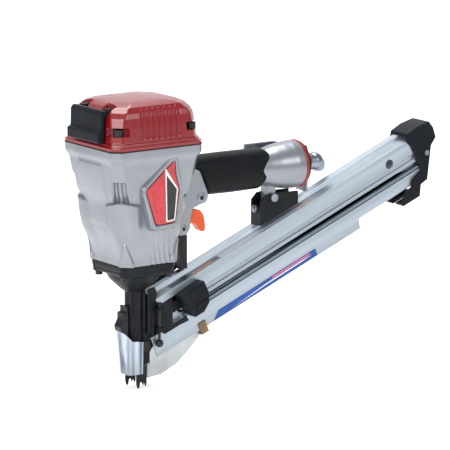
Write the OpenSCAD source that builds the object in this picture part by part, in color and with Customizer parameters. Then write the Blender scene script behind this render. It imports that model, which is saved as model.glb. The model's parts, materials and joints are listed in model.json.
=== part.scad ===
// Pneumatic framing nailer with a slanted strip magazine, in millimetres.
// Origin: centre of the muzzle where the nails leave. +Z runs up the drive axis,
// +X points to the rear (handle and magazine), the badge side is -Y.

/* [Body] */
// Length of the body under the cap, along X
body_len = 128; // [120:1:138]
// Width of the body under the cap, along Y
body_wid = 116; // [110:1:126]
// Length of the body at its foot
base_len = 76; // [72:1:84]
// Width of the body at its foot
base_wid = 80; // [76:1:88]
// Height of the body's foot above the muzzle
body_z = 138; // [132:1:146]
// Height of the joint between body and cap
joint_z = 278; // [270:1:290]
// Wall thickness of the cast body
body_wall = 4; // [3:0.5:5]
// Thickness of the body's floor
floor_t = 5; // [4:0.5:6]

/* [Cap] */
// Height of the cap above its gasket
cap_h = 53.8; // [50:0.5:60]
// Thickness of the cap gasket
gasket_t = 1.2; // [0.8:0.1:2]
// Wall thickness of the cap
cap_wall = 5; // [4:0.5:6]
// Distance of the cap bolts from the body's corner planes
cap_bolt_in = 13; // [12:0.5:15]
// Radius of the cap bolt shanks
cap_bolt_r = 3; // [2.5:0.5:3.5]
// Width of the exhaust cover
exhaust_wid = 66; // [56:1:70]
// How far the exhaust cover's lip stands out from the cap
exhaust_lip = 7; // [5:0.5:12]

/* [Drive] */
// Radius of the cylinder bore
bore_r = 25; // [23:0.5:26]
// Wall thickness of the cylinder sleeve
sleeve_t = 3; // [2.5:0.5:4]
// Piston stroke
stroke = 94; // [88:1:98]
// Thickness of the piston
piston_t = 16; // [14:1:18]
// Radius of the driver blade
blade_r = 3.9; // [3.5:0.1:4.2]
// Thickness of the rubber bumper
bumper_t = 6; // [5:0.5:7]
// Travel of the head valve
head_travel = 6; // [5:0.5:7]

/* [Handle] */
// Height of the handle's axis
handle_z = 229.5; // [226:0.5:232]
// Radius of the rubber grip
grip_r = 24.5; // [23.5:0.5:26]
// Width of the flattened grip
grip_wid = 39; // [36:0.5:42]
// Thickness of the rubber grip
grip_t = 3.5; // [3:0.5:4]
// X position of the rear end of the grip
grip_end = 188; // [180:1:192]
// X position of the red gasket behind the handle
handle_end = 232; // [226:1:238]
// Radius of the flared handle end
flare_r = 29; // [28:0.5:31]
// Radius of the air passage through the handle
air_r = 13; // [11:0.5:14]

/* [Trigger] */
// X position of the trigger pin
trigger_x = 61; // [60:0.5:62]
// Height of the trigger pin
trigger_z = 170; // [168:0.5:171]
// Width of the trigger
trigger_wid = 14; // [13:0.5:16]
// Radius of the trigger pin
trigger_pin_r = 2.5; // [2:0.25:3]
// Thickness of each housing cheek beside the trigger
cheek_t = 4; // [3:0.5:5]

/* [Nose] */
// Outer radius of the nose tube
nose_r = 11; // [10:0.5:11.5]
// Thickness of the nose flange under the body
flange_t = 8; // [7:0.5:9]
// Width of the block that carries the magazine
block_wid = 22; // [20:0.5:22]
// Travel of the contact arm
arm_travel = 16; // [12:1:17]

/* [Magazine] */
// Slope of the magazine above the horizontal
mag_angle = 22.5; // [21:0.5:24]
// Distance along the slope of the magazine's front end
mag_front = 57; // [56:0.5:60]
// Distance along the slope of the magazine's rear end
mag_rear = 468; // [450:1:480]
// Width of the magazine's upper part
mag_wid = 29; // [27:0.5:31]
// Wall thickness of the extrusion
mag_wall = 2.4; // [2:0.1:2.8]
// Width of the nail channel
nail_gap = 5.2; // [5:0.1:6]
// Travel of the pusher
pusher_travel = 300; // [250:5:310]

/* [Clearances] */
// Gap between pieces that move past each other
gap = 0.3; // [0.2:0.05:0.4]
// Radial clearance of a pin in its hole
pin_fit = 0.05; // [0.02:0.01:0.08]
// Gap where a sleeve or cover sits on a curved seat
seat = 0.1; // [0.05:0.01:0.15]

/* [Hidden] */
$fn = 64;
cap_z = joint_z + gasket_t;
rim_cut = 9;
body_h = joint_z - body_z;
// Body outline up its height: share of height, share of the flare, corner cut.
body_steps = [[0, 0, 9], [0.07, 0.01, 9], [0.15, 0.06, 10], [0.30, 0.32, 12], [0.41, 0.43, 13],
              [0.54, 0.49, 13], [0.64, 0.66, 12], [0.81, 0.82, 11], [0.90, 0.88, 10],
              [0.93, 1, rim_cut], [1, 1, rim_cut]];
// Cap outline up its height: share of height, inset from the flange, corner cut.
cap_steps = [[0, 0, rim_cut], [0.09, 0, rim_cut], [0.14, 4, rim_cut], [0.45, 5, 10], [0.68, 6, 11],
             [0.80, 8.5, 12], [0.90, 13.5, 13], [0.96, 20, 14], [1, 33, 14]];
bolt_x = body_len / 2 - cap_bolt_in;
bolt_y = body_wid / 2 - cap_bolt_in;
notch_z = cap_z + 17;
notch_h = 9.5;
boss_r = 8;
floor_z = body_z + floor_t;
sleeve_r = bore_r + sleeve_t;
bumper_z = floor_z + 0.3;
piston_low = bumper_z + bumper_t + gap;
piston_z = piston_low + stroke;
sleeve_top = piston_z + piston_t + 6;
head_r = 36;
head_h = 24;
head_z = sleeve_top + gap;
head_bore_r = head_r + gap;
chamber_top = head_z + head_h + head_travel + 8;
muzzle_r = blade_r + gap;
muzzle_h = 9;
flange_z = body_z - flange_t;
core_r = grip_r - grip_t;
core_wid = grip_wid - 2 * grip_t;
cheek_in = trigger_wid / 2 + 4;
cheek_out = cheek_in + cheek_t;
mag_drop = -8;
mag_low = 15;
mag_top = 82;
ridge_top = 87.5;
slot_low = 47.9;
slot_high = 51;
rail_r = 2.8;
rail_t = 44.6;
lower_y = mag_wid / 2 - 1;
cap_plate = mag_wid / 2 + 2.5;
knob_front = 82;
knob_rear = 120;
nose_bolt_x = base_len / 2 - 7.5;
nose_bolt_y = base_wid / 2 - 12;
arm_y = lower_y + 1.3;
arm_t = 3;
bar_x = trigger_x + trigger_pin_r + 0.7;
bar_len = 9.8;
swivel_x = handle_end + 14;
swivel_tilt = 30;

// ---------- shared shapes ----------

// Upright form whose four sides and four cut corners follow [height, half length, half width, cut].
module eight_sided(rows) {
    reach = 2 * (body_len + body_wid);
    zs = [for (r = rows) r[0]];
    module wall(half) {
        linear_extrude(reach, center = true)
            polygon(concat([for (i = [0:len(rows) - 1]) [half[i], zs[i]]],
                           [for (i = [len(rows) - 1:-1:0]) [-half[i], zs[i]]]));
    }
    diag = [for (r = rows) (r[1] + r[2] - r[3]) / sqrt(2)];
    intersection() {
        rotate([90, 0, 0]) wall([for (r = rows) r[1]]);
        rotate([90, 0, 90]) wall([for (r = rows) r[2]]);
        rotate([90, 0, 45]) wall(diag);
        rotate([90, 0, -45]) wall(diag);
    }
}

// The body's form, inset all round, with the top lifted past the joint by "over".
module body_form(inset = 0, over = 0) {
    last = len(body_steps) - 1;
    eight_sided([for (i = [0:last]) let (s = body_steps[i])
        [body_z + s[0] * body_h + (i == last ? over : 0),
         base_len / 2 + s[1] * (body_len - base_len) / 2 - inset,
         base_wid / 2 + s[1] * (body_wid - base_wid) / 2 - inset, s[2] - 0.6 * inset]]);
}

// The cap's form, inset all round and lowered by "drop".
module cap_form(inset = 0, drop = 0) {
    eight_sided([for (i = [0:len(cap_steps) - 1]) let (s = cap_steps[i])
        [cap_z + s[0] * cap_h - drop, body_len / 2 - s[1] - inset,
         body_wid / 2 - s[1] - inset, s[2] - 0.6 * inset]]);
}

// Bar along X: rod(x, length, radius) at height z.
module rod_x(x, length, r, y = 0, z = 0) {
    translate([x, y, z]) rotate([0, 90, 0]) cylinder(h = length, r = r);
}

// Rod along Y, centred on y.
module rod_y(x, z, length, r, y = 0) {
    translate([x, y, z]) rotate([90, 0, 0]) cylinder(h = length, r = r, center = true);
}

// Outline in the XZ plane, thickened from y0 to y1.
module slab(points, y0, y1) {
    translate([0, y1, 0]) rotate([90, 0, 0]) linear_extrude(y1 - y0) polygon(points);
}

// Places its children in the magazine's frame: X along the slope, Z square to it.
module on_slope() {
    translate([0, 0, mag_drop]) rotate([0, -mag_angle, 0]) children();
}

// Section in (y, height) run along the slope from s0 to s1.
module run(points, s0, s1) {
    translate([s0, 0, 0]) rotate([90, 0, 90]) linear_extrude(s1 - s0) polygon(points);
}

// Block from one corner to the other.
module block(low, high) {
    translate(low) cube(high - low);
}

// Coil spring standing on z0, wound upwards: one closed tube along a helix.
module coil(r, wire, z0, z1, turns, sides = 6, steps = 14) {
    count = turns * steps;
    rise = (z1 - z0 - 2 * wire) / count;
    ring = [for (i = [0:count]) for (k = [0:sides - 1])
        let (a = 360 * i / steps, b = 360 * k / sides, q = r + wire * cos(b))
        [q * cos(a), q * sin(a), z0 + wire + rise * i + wire * sin(b)]];
    sides_q = [for (i = [0:count - 1]) for (k = [0:sides - 1])
        let (n = (k + 1) % sides)
        [i * sides + k, i * sides + n, (i + 1) * sides + n, (i + 1) * sides + k]];
    ends = [[for (k = [sides - 1:-1:0]) k], [for (k = [0:sides - 1]) count * sides + k]];
    polyhedron(ring, concat(sides_q, ends));
}

// Ring with a round section.
module o_ring(r, section) {
    rotate_extrude() translate([r, 0]) circle(section, $fn = 24);
}

// Repeats its children at the four corners (x, y).
module at_corners(x, y) {
    for (i = [-1, 1]) for (j = [-1, 1]) translate([i * x, j * y, 0]) children();
}

// Socket-head screw pointing down, its head standing on z = 0.
module socket_screw(r, length, head_r, head_h) {
    difference() {
        union() {
            translate([0, 0, -length]) cylinder(h = length, r = r);
            cylinder(h = head_h, r = head_r);
        }
        translate([0, 0, head_h / 2]) cylinder(h = head_h, r = head_r / 2, $fn = 6);
    }
}

// ---------- body ----------

badge = [[21, 125], [-19, 92.5], [-5, 50], [21, 51.5], [27, 90.5], [22, 108]];
badge_pad = [[25, 132], [14, 130], [-26, 94], [-11, 44], [26, 45], [33, 91], [28, 109]];
badge_y = body_wid / 2 - 1;
// Outlines given above the body's foot are lifted to their height.
function lift(points, z) = [for (p = points) [p[0], p[1] + z]];
// Cheek beside the trigger, measured from the trigger pin.
cheek = [[-22, 72], [23, 72], [36, 41], [35, 31], [31, 28], [25, 27], [14, 23], [11, 13],
         [10, -1], [5, -7.5], [-5, -8], [-12, 2], [-22, 30]];
root_low = handle_z - grip_r;
handle_root = [[36, body_z + 84], [36, handle_z + 16], [trigger_x + 23, trigger_z + 72],
               [trigger_x + 36, trigger_z + 41], [trigger_x + 35, root_low],
               [trigger_x - 6, root_low]];
valve_x = trigger_x + 18;
valve_r = 7.9;
valve_low = trigger_z + 28;
valve_h = 22;
lug_x = grip_end + 6;

function about(points, x, z) = [for (p = points) [p[0] + x, p[1] + z]];

module handle_core(grow = 0) {
    intersection() {
        rod_x(40, handle_end - 40, core_r + grow, z = handle_z);
        block([30, -core_wid / 2 - grow, handle_z - 40], [handle_end, core_wid / 2 + grow, handle_z + 40]);
    }
}

module handle_flare() {
    translate([0, 0, handle_z]) rotate([0, 90, 0]) rotate_extrude()
        polygon([[0, grip_end - 4], [core_r - 2, grip_end - 4], [grip_r - 0.4, grip_end],
                 [grip_r + 1.6, grip_end + 12], [flare_r - 0.9, grip_end + 24],
                 [flare_r, handle_end - 12], [flare_r, handle_end], [0, handle_end]]);
}

module end_screw_holes(r, x, length) {
    for (a = [30:120:270]) translate([0, 0, handle_z]) rotate([a, 0, 0])
        rod_x(x, length, r, z = flare_r - 6);
}

module main_housing() {
    color("#b4bccb") difference() {
        union() {
            body_form();
            handle_core();
            handle_flare();
            slab(handle_root, -core_wid / 2 - 2, core_wid / 2 + 2);
            for (side = [-1, 1]) {
                mirror([0, side < 0 ? 1 : 0, 0]) {
                    slab(about(cheek, trigger_x, trigger_z), cheek_in, cheek_out);
                    slab(lift(badge_pad, body_z), 30, badge_y);
                }
            }
            // Lug under the handle end that carries the magazine bracket.
            block([grip_end + seat, -8, handle_z - 41], [grip_end + 12, 8, handle_z - 18]);
        }
        intersection() {
            body_form(body_wall, 2);
            difference() {
                block([-body_len, -body_wid, floor_z], [body_len, body_wid, joint_z + 2]);
                at_corners(bolt_x, bolt_y) translate([0, 0, joint_z - 40]) cylinder(h = 60, r = boss_r);
            }
        }
        at_corners(bolt_x, bolt_y) translate([0, 0, joint_z - 24]) cylinder(h = 40, r = cap_bolt_r + pin_fit);
        translate([0, 0, body_z - 1]) cylinder(h = floor_t + 2, r = 12);
        // Air passage through the handle, wide at its rear mouth.
        rod_x(36, handle_end - 30, air_r, z = handle_z);
        rod_x(grip_end + 14, 60, flare_r - 11, z = handle_z);
        end_screw_holes(2 + pin_fit, handle_end - 14, 20);
        // Trigger valve bore, and the slot for the trigger below it.
        translate([valve_x, 0, valve_low - 1]) cylinder(h = valve_h + 1, r = valve_r + pin_fit);
        rod_y(trigger_x, trigger_z, 60, trigger_pin_r + pin_fit);
        rod_y(trigger_x + 26, trigger_z + 35, 60, 1.8);
        // Badge recesses.
        for (side = [-1, 1]) mirror([0, side < 0 ? 1 : 0, 0])
            slab(lift(badge, body_z), badge_y - 1.2, badge_y + 5);
        // Nose bolts and the bracket bolt.
        at_corners(nose_bolt_x, nose_bolt_y) translate([0, 0, body_z - 1]) cylinder(h = 16, r = 2.5 + pin_fit);
        rod_y(lug_x, handle_z - 36, 30, 2.5 + pin_fit);
    }
}

module badge_plate(side) {
    color("#c8202c") mirror([0, side < 0 ? 1 : 0, 0])
        slab(lift([for (p = badge) [p[0] + (p[0] > 10 ? -0.3 : 0.3), p[1] + (p[1] > 90 ? -0.3 : 0.3)]],
                  body_z), badge_y - 1.2, badge_y + 0.4);
}

module side_badge_left() {
    badge_plate(-1);
}

module side_badge_right() {
    badge_plate(1);
}

// ---------- cap ----------

module cap_gasket() {
    color("#20242a") difference() {
        block([-body_len, -body_wid, joint_z], [body_len, body_wid, cap_z]);
        difference() {
            block([-300, -300, joint_z - 1], [300, 300, cap_z + 1]);
            eight_sided([for (z = [joint_z - 2, cap_z + 2]) [z, body_len / 2 + 0.4, body_wid / 2 + 0.4, rim_cut]]);
        }
        eight_sided([for (z = [joint_z - 2, cap_z + 2])
            [z, body_len / 2 - body_wall, body_wid / 2 - body_wall, 28]]);
        at_corners(bolt_x, bolt_y) translate([0, 0, joint_z - 1]) cylinder(h = 4, r = cap_bolt_r + 0.5);
    }
}

exhaust_x = -body_len / 2;
exhaust_low = cap_z + 8;
exhaust_top = cap_z + 46;
passage_z = cap_z + 10;
cover_side = [[exhaust_x + 2.6, exhaust_low], [exhaust_x - exhaust_lip + 1, exhaust_low],
              [exhaust_x - exhaust_lip, exhaust_low + 2], [exhaust_x - exhaust_lip, exhaust_low + 12],
              [exhaust_x - exhaust_lip + 4.5, exhaust_low + 14], [exhaust_x - 2, exhaust_top - 4],
              [exhaust_x + 1, exhaust_top], [exhaust_x + 7, exhaust_top - 0.5],
              [exhaust_x + 8, exhaust_top - 4], [exhaust_x + 18.5, exhaust_top - 4],
              [exhaust_x + 18.5, exhaust_top - 7], [exhaust_x + 3, exhaust_top - 7],
              [exhaust_x + 2.6, exhaust_low + 4]];

// The two screws that hold the exhaust cover, heads on its rear ledge.
module cover_bolt_places() {
    for (j = [-1, 1]) translate([exhaust_x + 13.2, j * 25, exhaust_top - 4]) children();
}

module cylinder_cap() {
    color("#9a2630") difference() {
        cap_form();
        // Air chamber round the head valve's guide ring.
        difference() {
            intersection() {
                cap_form(cap_wall, 4);
                block([-body_len, -body_wid, cap_z - 1], [body_len, body_wid, cap_z + cap_h - 16]);
            }
            translate([0, 0, cap_z - 1]) cylinder(h = cap_h, r = head_bore_r + 4);
            at_corners(bolt_x, bolt_y) cylinder(h = 400, r = boss_r + 1.5);
        }
        translate([0, 0, cap_z - 1]) cylinder(h = chamber_top - cap_z + 1, r = head_bore_r);
        // Corner notches with the bolt seats.
        for (i = [-1, 1]) for (j = [-1, 1]) translate([i * bolt_x, j * bolt_y, notch_z])
            rotate([0, 0, atan2(j, i)]) translate([-8.5, -11, 0]) cube([40, 22, notch_h]);
        at_corners(bolt_x, bolt_y) translate([0, 0, cap_z - 1]) cylinder(h = 60, r = cap_bolt_r + pin_fit);
        // Seat of the exhaust cover, and the passage behind it.
        slab(cover_side, -exhaust_wid / 2 - 0.2, exhaust_wid / 2 + 0.2);
        block([exhaust_x - 20, -exhaust_wid / 2 - 0.2, exhaust_low], [exhaust_x + 2.6, exhaust_wid / 2 + 0.2, exhaust_top]);
        block([exhaust_x - 1, -22, passage_z], [-20, 22, passage_z + 12]);
        cover_bolt_places() cylinder(h = 24, r = 2 + pin_fit, center = true);
        cover_bolt_places() cylinder(h = 40, r = 5.5);
        // Cooling flutes along both sides.
        for (i = [0:6]) for (j = [-1, 1])
            translate([-20 + i * 8, j * (body_wid / 2 + 1), cap_z + 10]) cylinder(h = 34, r = 2.8);
    }
}

module cap_bolts() {
    color("#22262c") at_corners(bolt_x, bolt_y)
        translate([0, 0, notch_z]) socket_screw(cap_bolt_r, notch_z - joint_z + 20, 5.8, 8);
}

module exhaust_cover() {
    color("#2c333d") difference() {
        slab(cover_side, -exhaust_wid / 2, exhaust_wid / 2);
        cover_bolt_places() cylinder(h = 60, r = 2 + pin_fit, center = true);
    }
}

module exhaust_filter() {
    color("#8a8f98") block([exhaust_x + 3.2, -21.6, passage_z + 0.3], [exhaust_x + 7, 21.6, passage_z + 11.7]);
}

module cover_bolts() {
    color("#22262c") cover_bolt_places() socket_screw(2, 10, 4.6, 5);
}

// ---------- drive ----------

module head_valve() {
    color("#d8d8cc") difference() {
        translate([0, 0, head_z]) cylinder(h = head_h, r = head_r);
        translate([0, 0, head_z - 1]) cylinder(h = head_h - 5, r = bore_r - 2);
        translate([0, 0, head_z + head_h - 3]) cylinder(h = 4, r = 22);
    }
}

module head_valve_spring() {
    color("#9aa0a6") coil(29, 1.1, head_z + head_h + gap, chamber_top - gap, 3);
}

module cylinder_sleeve() {
    color("#c9ccd0") difference() {
        union() {
            translate([0, 0, floor_z]) cylinder(h = sleeve_top - floor_z, r = sleeve_r);
            translate([0, 0, floor_z]) cylinder(h = 4, r = base_len / 2 - body_wall - 2);
        }
        translate([0, 0, floor_z - 1]) cylinder(h = 200, r = bore_r);
        translate([0, 0, sleeve_top - 8]) o_ring(sleeve_r, 1.6);
        // Return-air ports near the foot.
        for (a = [0:45:315]) rotate([0, 0, a]) translate([0, 0, floor_z + 24]) rotate([0, 90, 0])
            cylinder(h = 40, r = 1.8);
    }
}

module sleeve_seal() {
    color("#1c1f22") translate([0, 0, sleeve_top - 8]) o_ring(sleeve_r, 1.5);
}

module piston() {
    color("#aab0b6") difference() {
        union() {
            translate([0, 0, piston_z]) cylinder(h = piston_t, r = bore_r - gap);
        }
        translate([0, 0, piston_z + piston_t / 2 - 2]) difference() {
            cylinder(h = 4, r = bore_r + 2);
            translate([0, 0, -1]) cylinder(h = 6, r = bore_r - 3);
        }
        translate([0, 0, piston_z + piston_t - 5]) cylinder(h = 6, r = 9);
        translate([0, 0, piston_z - 1]) cylinder(h = piston_t + 2, r = blade_r + 0.02);
    }
}

module piston_ring() {
    color("#1c1f22") translate([0, 0, piston_z + piston_t / 2]) o_ring(bore_r - 1.6, 1.35);
}

module driver_blade() {
    color("#8f969c") union() {
        translate([0, 0, stroke - 1]) cylinder(h = piston_z + piston_t - 5 - (stroke - 1), r = blade_r);
        translate([0, 0, piston_z + piston_t - 5]) cylinder(h = 4, r = blade_r + 3);
    }
}

module bumper() {
    color("#30343a") translate([0, 0, bumper_z]) difference() {
        cylinder(h = bumper_t, r = bore_r - 0.4);
        translate([0, 0, -1]) cylinder(h = bumper_t + 2, r = blade_r + 3.4);
    }
}

// ---------- nose ----------

nose_block_outline = [[-6, 14], [33.4, 14], [33.4, 41.6], [mag_front - 0.6, 41.6], [mag_front - 0.6, 79],
                      [44, 92], [20, 105], [-6, 112]];
spring_x = 14;
spring_y = 22.5;
spring_low = 79;
spring_top = 108;

module nose() {
    color("#23272e") difference() {
        union() {
            difference() {
                eight_sided([for (s = [[flange_z, 1], [flange_z + 3, 0], [body_z, 0]])
                    [s[0], base_len / 2 + 0.5 - s[1], base_wid / 2 - s[1], body_steps[0][2]]]);
                translate([0, 0, flange_z - 1]) cylinder(h = flange_t - 4, r = 20);
            }
            rotate_extrude() polygon([[0, 90], [nose_r, 90], [nose_r, 100.4], [16, 104], [29, 116],
                                      [33, 123], [34, flange_z + 1], [0, flange_z + 1]]);
            cylinder(h = flange_z, r = nose_r);
            at_corners(nose_bolt_x, nose_bolt_y) translate([0, 0, flange_z - 6]) cylinder(h = 8, r = 7);
            translate([spring_x, spring_y, spring_top]) cylinder(h = flange_z - spring_top + 1, r = 5.5);
            intersection() {
                on_slope() slab(nose_block_outline, -block_wid / 2, block_wid / 2);
                block([7, -40, 9], [90, 40, flange_z - 14]);
            }
            // Ears that guide the latch pin.
            for (z = [50.5, 74]) block([latch_x - 4, latch_y - 3.5, z], [latch_x + 4, -block_wid / 2 + 1, z + 6]);
        }
        translate([0, 0, -1]) cylinder(h = body_z + 2, r = muzzle_r);
        // Slot that feeds the nails, wider for their heads.
        block([0, -nail_gap / 2, muzzle_h], [70, nail_gap / 2, 96]);
        block([0, -5, 84], [44, 5, 96]);
        // Lightening pocket above the cone.
        translate([0, 0, 112]) difference() {
            cylinder(h = 18, r1 = 14, r2 = 26);
            translate([0, 0, -1]) cylinder(h = 20, r = nose_r);
        }
        at_corners(nose_bolt_x, nose_bolt_y) translate([0, 0, 100]) cylinder(h = 60, r = 2.5 + pin_fit);
        translate([latch_x, latch_y, 20]) cylinder(h = 80, r = 1.8 + pin_fit);
    }
}

module nose_bolts() {
    color("#1d2025") at_corners(nose_bolt_x, nose_bolt_y)
        translate([0, 0, flange_z - 6]) mirror([0, 0, 1]) socket_screw(2.5, 20, 4.4, 5);
}

latch_x = 24;
latch_y = -18.8;

module latch_pin() {
    color("#1d2025") union() {
        translate([latch_x, latch_y, 38]) cylinder(h = 47, r = 1.8);
        translate([latch_x, latch_y, 37]) sphere(r = 4.9);
        translate([latch_x, latch_y, 84.4]) cylinder(h = 2, r = 3);
    }
}

// ---------- handle ----------

module grip_sleeve() {
    color("#2b3036") difference() {
        intersection() {
            rod_x(body_len / 2 + 1.5, grip_end - body_len / 2 - 1.5, grip_r, z = handle_z);
            block([0, -grip_wid / 2, 100], [400, grip_wid / 2, 400]);
        }
        handle_core(seat);
        slab(about(handle_root, seat, 0), -40, 40);
        translate([0, 0, handle_z]) rotate([0, 90, 0]) rotate_extrude()
            polygon([[0, grip_end - 4.2], [core_r - 1.8, grip_end - 4.2], [grip_r + 0.2, grip_end - 0.2],
                     [grip_r + 10, grip_end - 0.2], [grip_r + 10, grip_end + 1], [0, grip_end + 1]]);
        rod_y(trigger_x + 26, trigger_z + 35, 60, 6);
    }
}

module end_cap_gasket() {
    color("#c02028") difference() {
        rod_x(handle_end, 3, flare_r + 0.3, z = handle_z);
        rod_x(handle_end - 1, 6, flare_r - 11, z = handle_z);
        end_screw_holes(2 + pin_fit, handle_end - 1, 6);
    }
}

module handle_end_cap() {
    color("#24282e") difference() {
        union() {
            translate([handle_end + 3, 0, handle_z]) rotate([0, 90, 0]) rotate_extrude()
                polygon([[0, 0], [flare_r - 1, 0], [flare_r - 1, 2.5], [flare_r - 3, 4.5], [0, 4.5]]);
            rod_x(handle_end + 3, 7, 14, z = handle_z);
        }
        rod_x(handle_end + 2, 20, 8 + pin_fit, z = handle_z);
        end_screw_holes(2 + pin_fit, handle_end, 20);
    }
}

module end_cap_bolts() {
    color("#9aa0a6") for (a = [30:120:270]) translate([0, 0, handle_z]) rotate([a, 0, 0])
        translate([handle_end + 7.5, 0, flare_r - 6]) rotate([0, 90, 0]) socket_screw(2, 16, 3.4, 2.4);
}

// Threaded neck and hex nut that hold the hook and the swivel.
module fitting_nut() {
    color("#1f2226") difference() {
        union() {
            rod_x(handle_end + 1, swivel_x - handle_end + 4, 8, z = handle_z);
            translate([swivel_x, 0, handle_z]) rotate([0, 90, 0]) cylinder(h = 5, r = 12, $fn = 6);
        }
        rod_x(handle_end, 40, 4.5, z = handle_z);
    }
}

// The elbow turns on the neck; its arm points half rearwards, half sideways.
module elbow_arm(from, length, r) {
    translate([swivel_x + 16, 0, handle_z]) rotate([-swivel_tilt, 0, 0]) rotate([0, 0, 45])
        translate([from, 0, 0]) rotate([0, 90, 0]) cylinder(h = length, r = r);
}

module swivel_elbow() {
    color("#878e96") difference() {
        union() {
            rod_x(swivel_x + 5 + gap, 10, 10, z = handle_z);
            translate([swivel_x + 16, 0, handle_z]) sphere(r = 11);
            elbow_arm(6, 13, 9.5);
        }
        rod_x(swivel_x, 14, 5, z = handle_z);
        elbow_arm(0, 30, 4);
        translate([0, 0, handle_z]) block([swivel_x - 4, -20, -20], [swivel_x + 5 + gap, 20, 20]);
    }
}

module air_plug() {
    color("#9aa1a8") difference() {
        union() {
            elbow_arm(19, 6, 7.5);
            elbow_arm(25, 5, 4.6);
            elbow_arm(30, 4, 6);
            elbow_arm(34, 8, 3.95);
        }
        elbow_arm(18, 30, 2.2);
    }
}

hook_reach = 61;
hook_x = handle_end + 10;

module rafter_hook() {
    color("#a9adb0") difference() {
        union() {
            // Base strap behind the end cap, with its eye round the neck.
            block([hook_x + gap, -11, handle_z - 34], [hook_x + 3, 11, handle_z + 12]);
            block([hook_x + gap, 0, handle_z - 6], [hook_x + 3, hook_reach, handle_z + 18]);
            block([hook_x - 42, hook_reach - 3, handle_z - 4], [hook_x + 3, hook_reach, handle_z + 18]);
        }
        rod_x(hook_x - 5, 12, 8.3, z = handle_z);
    }
}

// ---------- trigger ----------

trigger_outline = [[-6, -4], [0, -6.5], [9, -2], [17, 5], [26, -1], [30, -7.5], [35, -8], [37, 2],
                   [35, 13], [27, 18.5], [20, 20.5], [5, 14], [-3, 6]];

module trigger() {
    color("#e0662c") difference() {
        slab(about(trigger_outline, trigger_x, trigger_z), -trigger_wid / 2, trigger_wid / 2);
        block([trigger_x - 20, -4.7, trigger_z - 20], [bar_x + bar_len + 1, 4.7, trigger_z + 30]);
        rod_y(trigger_x, trigger_z, 40, trigger_pin_r + pin_fit);
        for (x = [27, 33]) rod_y(trigger_x + x, trigger_z + 8, 40, 1);
    }
}

module trigger_pin() {
    color("#1f2226") rod_y(trigger_x, trigger_z, 2 * cheek_out, trigger_pin_r);
}

stem_top = valve_low + 12;

module valve_body() {
    color("#c9a227") translate([valve_x, 0, valve_low]) difference() {
        cylinder(h = valve_h, r = valve_r);
        translate([0, 0, 3]) cylinder(h = valve_h - 5, r = 5.2);
        translate([0, 0, -1]) cylinder(h = valve_h - 4, r = 2.4 + pin_fit);
    }
}

module valve_stem() {
    color("#b0b6bc") translate([valve_x, 0, 0]) union() {
        translate([0, 0, trigger_z + 21.3]) cylinder(h = stem_top - trigger_z - 21.3, r = 2.4);
        translate([0, 0, stem_top - 4]) cylinder(h = 4, r = 4.8);
    }
}

module valve_spring() {
    color("#9aa0a6") translate([valve_x, 0, 0])
        coil(3.6, 0.5, stem_top + 0.2, valve_low + valve_h - 2.2, 3, 5, 12);
}

// ---------- contact arm ----------

foot_side = [[-22, 54], [-12, 42], [15, 40], [15, 27], [4.6, 26], [4.6, 10], [0, 2], [-15, 0]];
foot_half = 14;

module foot_plan(r) {
    translate([0, 0, -30]) linear_extrude(120) union() {
        translate([-8, 0]) circle(r);
        polygon([[-8, -r], [40, -r], [40, r], [-8, r]]);
    }
}

module contact_foot() {
    color("#c4ccd4") difference() {
        intersection() {
            slab(foot_side, -foot_half, foot_half);
            foot_plan(foot_half);
        }
        foot_plan(foot_half - 1.7);
    }
}

module contact_tip() {
    color("#16191d") difference() {
        intersection() {
            slab([[-14, 26], [4, 26], [4, 10.5], [11, 10], [12, -13], [9, -16.4], [6, -11], [3, -16.4],
                  [0, -11], [-6, -16.4], [-9, -11], [-13, -9]], -12, 12);
            foot_plan(foot_half - 2);
        }
        translate([0, 0, -40]) cylinder(h = 100, r = nose_r + gap);
        block([-nose_r + 2, -nose_r - gap, -40], [40, nose_r + gap, -4]);
        block([-nose_r + 2, -nose_r - gap, -5], [40, nose_r + gap, 60]);
    }
}

module contact_front_guide() {
    color("#1d2126") slab([[-22.5, 54.9], [-12.2, 42.6], [-11.8, 84], [-15, 84], [-15, 77],
                           [-19, 76], [-19, 68], [-23.5, 60]], -7, 7);
}

dial_x = 24;
dial_y = arm_y + arm_t + 7.5;

module contact_link() {
    color("#22262b") difference() {
        union() {
            slab([[4, 27], [15, 27], [15, 40], [22, 50], [32, 84], [bar_x + bar_len, 118],
                  [bar_x + bar_len, 127], [bar_x, 127], [26, 96], [8, 80], [8, 56], [2, 40]],
                 arm_y, arm_y + arm_t);
            block([bar_x, -4, 119], [bar_x + bar_len, arm_y + arm_t, 127]);
            block([bar_x, -4, 119], [bar_x + bar_len, 4, trigger_z - 10]);
            // Ear under the spring.
            block([spring_x - 6, arm_y, spring_low - 3], [spring_x + 6, spring_y + 6, spring_low]);
            // Ears that hold the depth dial.
            for (z = [56, 71]) block([dial_x - 6, arm_y, z - 1], [dial_x + 6, dial_y + 4, z + 2]);
        }
        translate([spring_x, spring_y, 60]) cylinder(h = 40, r = 2.2 + gap);
        translate([dial_x, dial_y, 40]) cylinder(h = 60, r = 2 + pin_fit);
    }
}

module depth_dial() {
    color("#2a2e34") difference() {
        translate([dial_x, dial_y, 58.3]) cylinder(h = 11.4, r = 6.6);
        translate([dial_x, dial_y, 40]) cylinder(h = 60, r = 2 + pin_fit);
        for (a = [0:30:330]) translate([dial_x, dial_y, 50]) rotate([0, 0, a]) translate([7, 0, 0])
            cylinder(h = 40, r = 0.9);
    }
}

module dial_pin() {
    color("#9aa0a6") translate([dial_x, dial_y, 54]) cylinder(h = 20, r = 2);
}

module spring_guide_pin() {
    color("#9aa0a6") translate([spring_x, spring_y, 72]) cylinder(h = spring_top - 72, r = 2.2);
}

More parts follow.
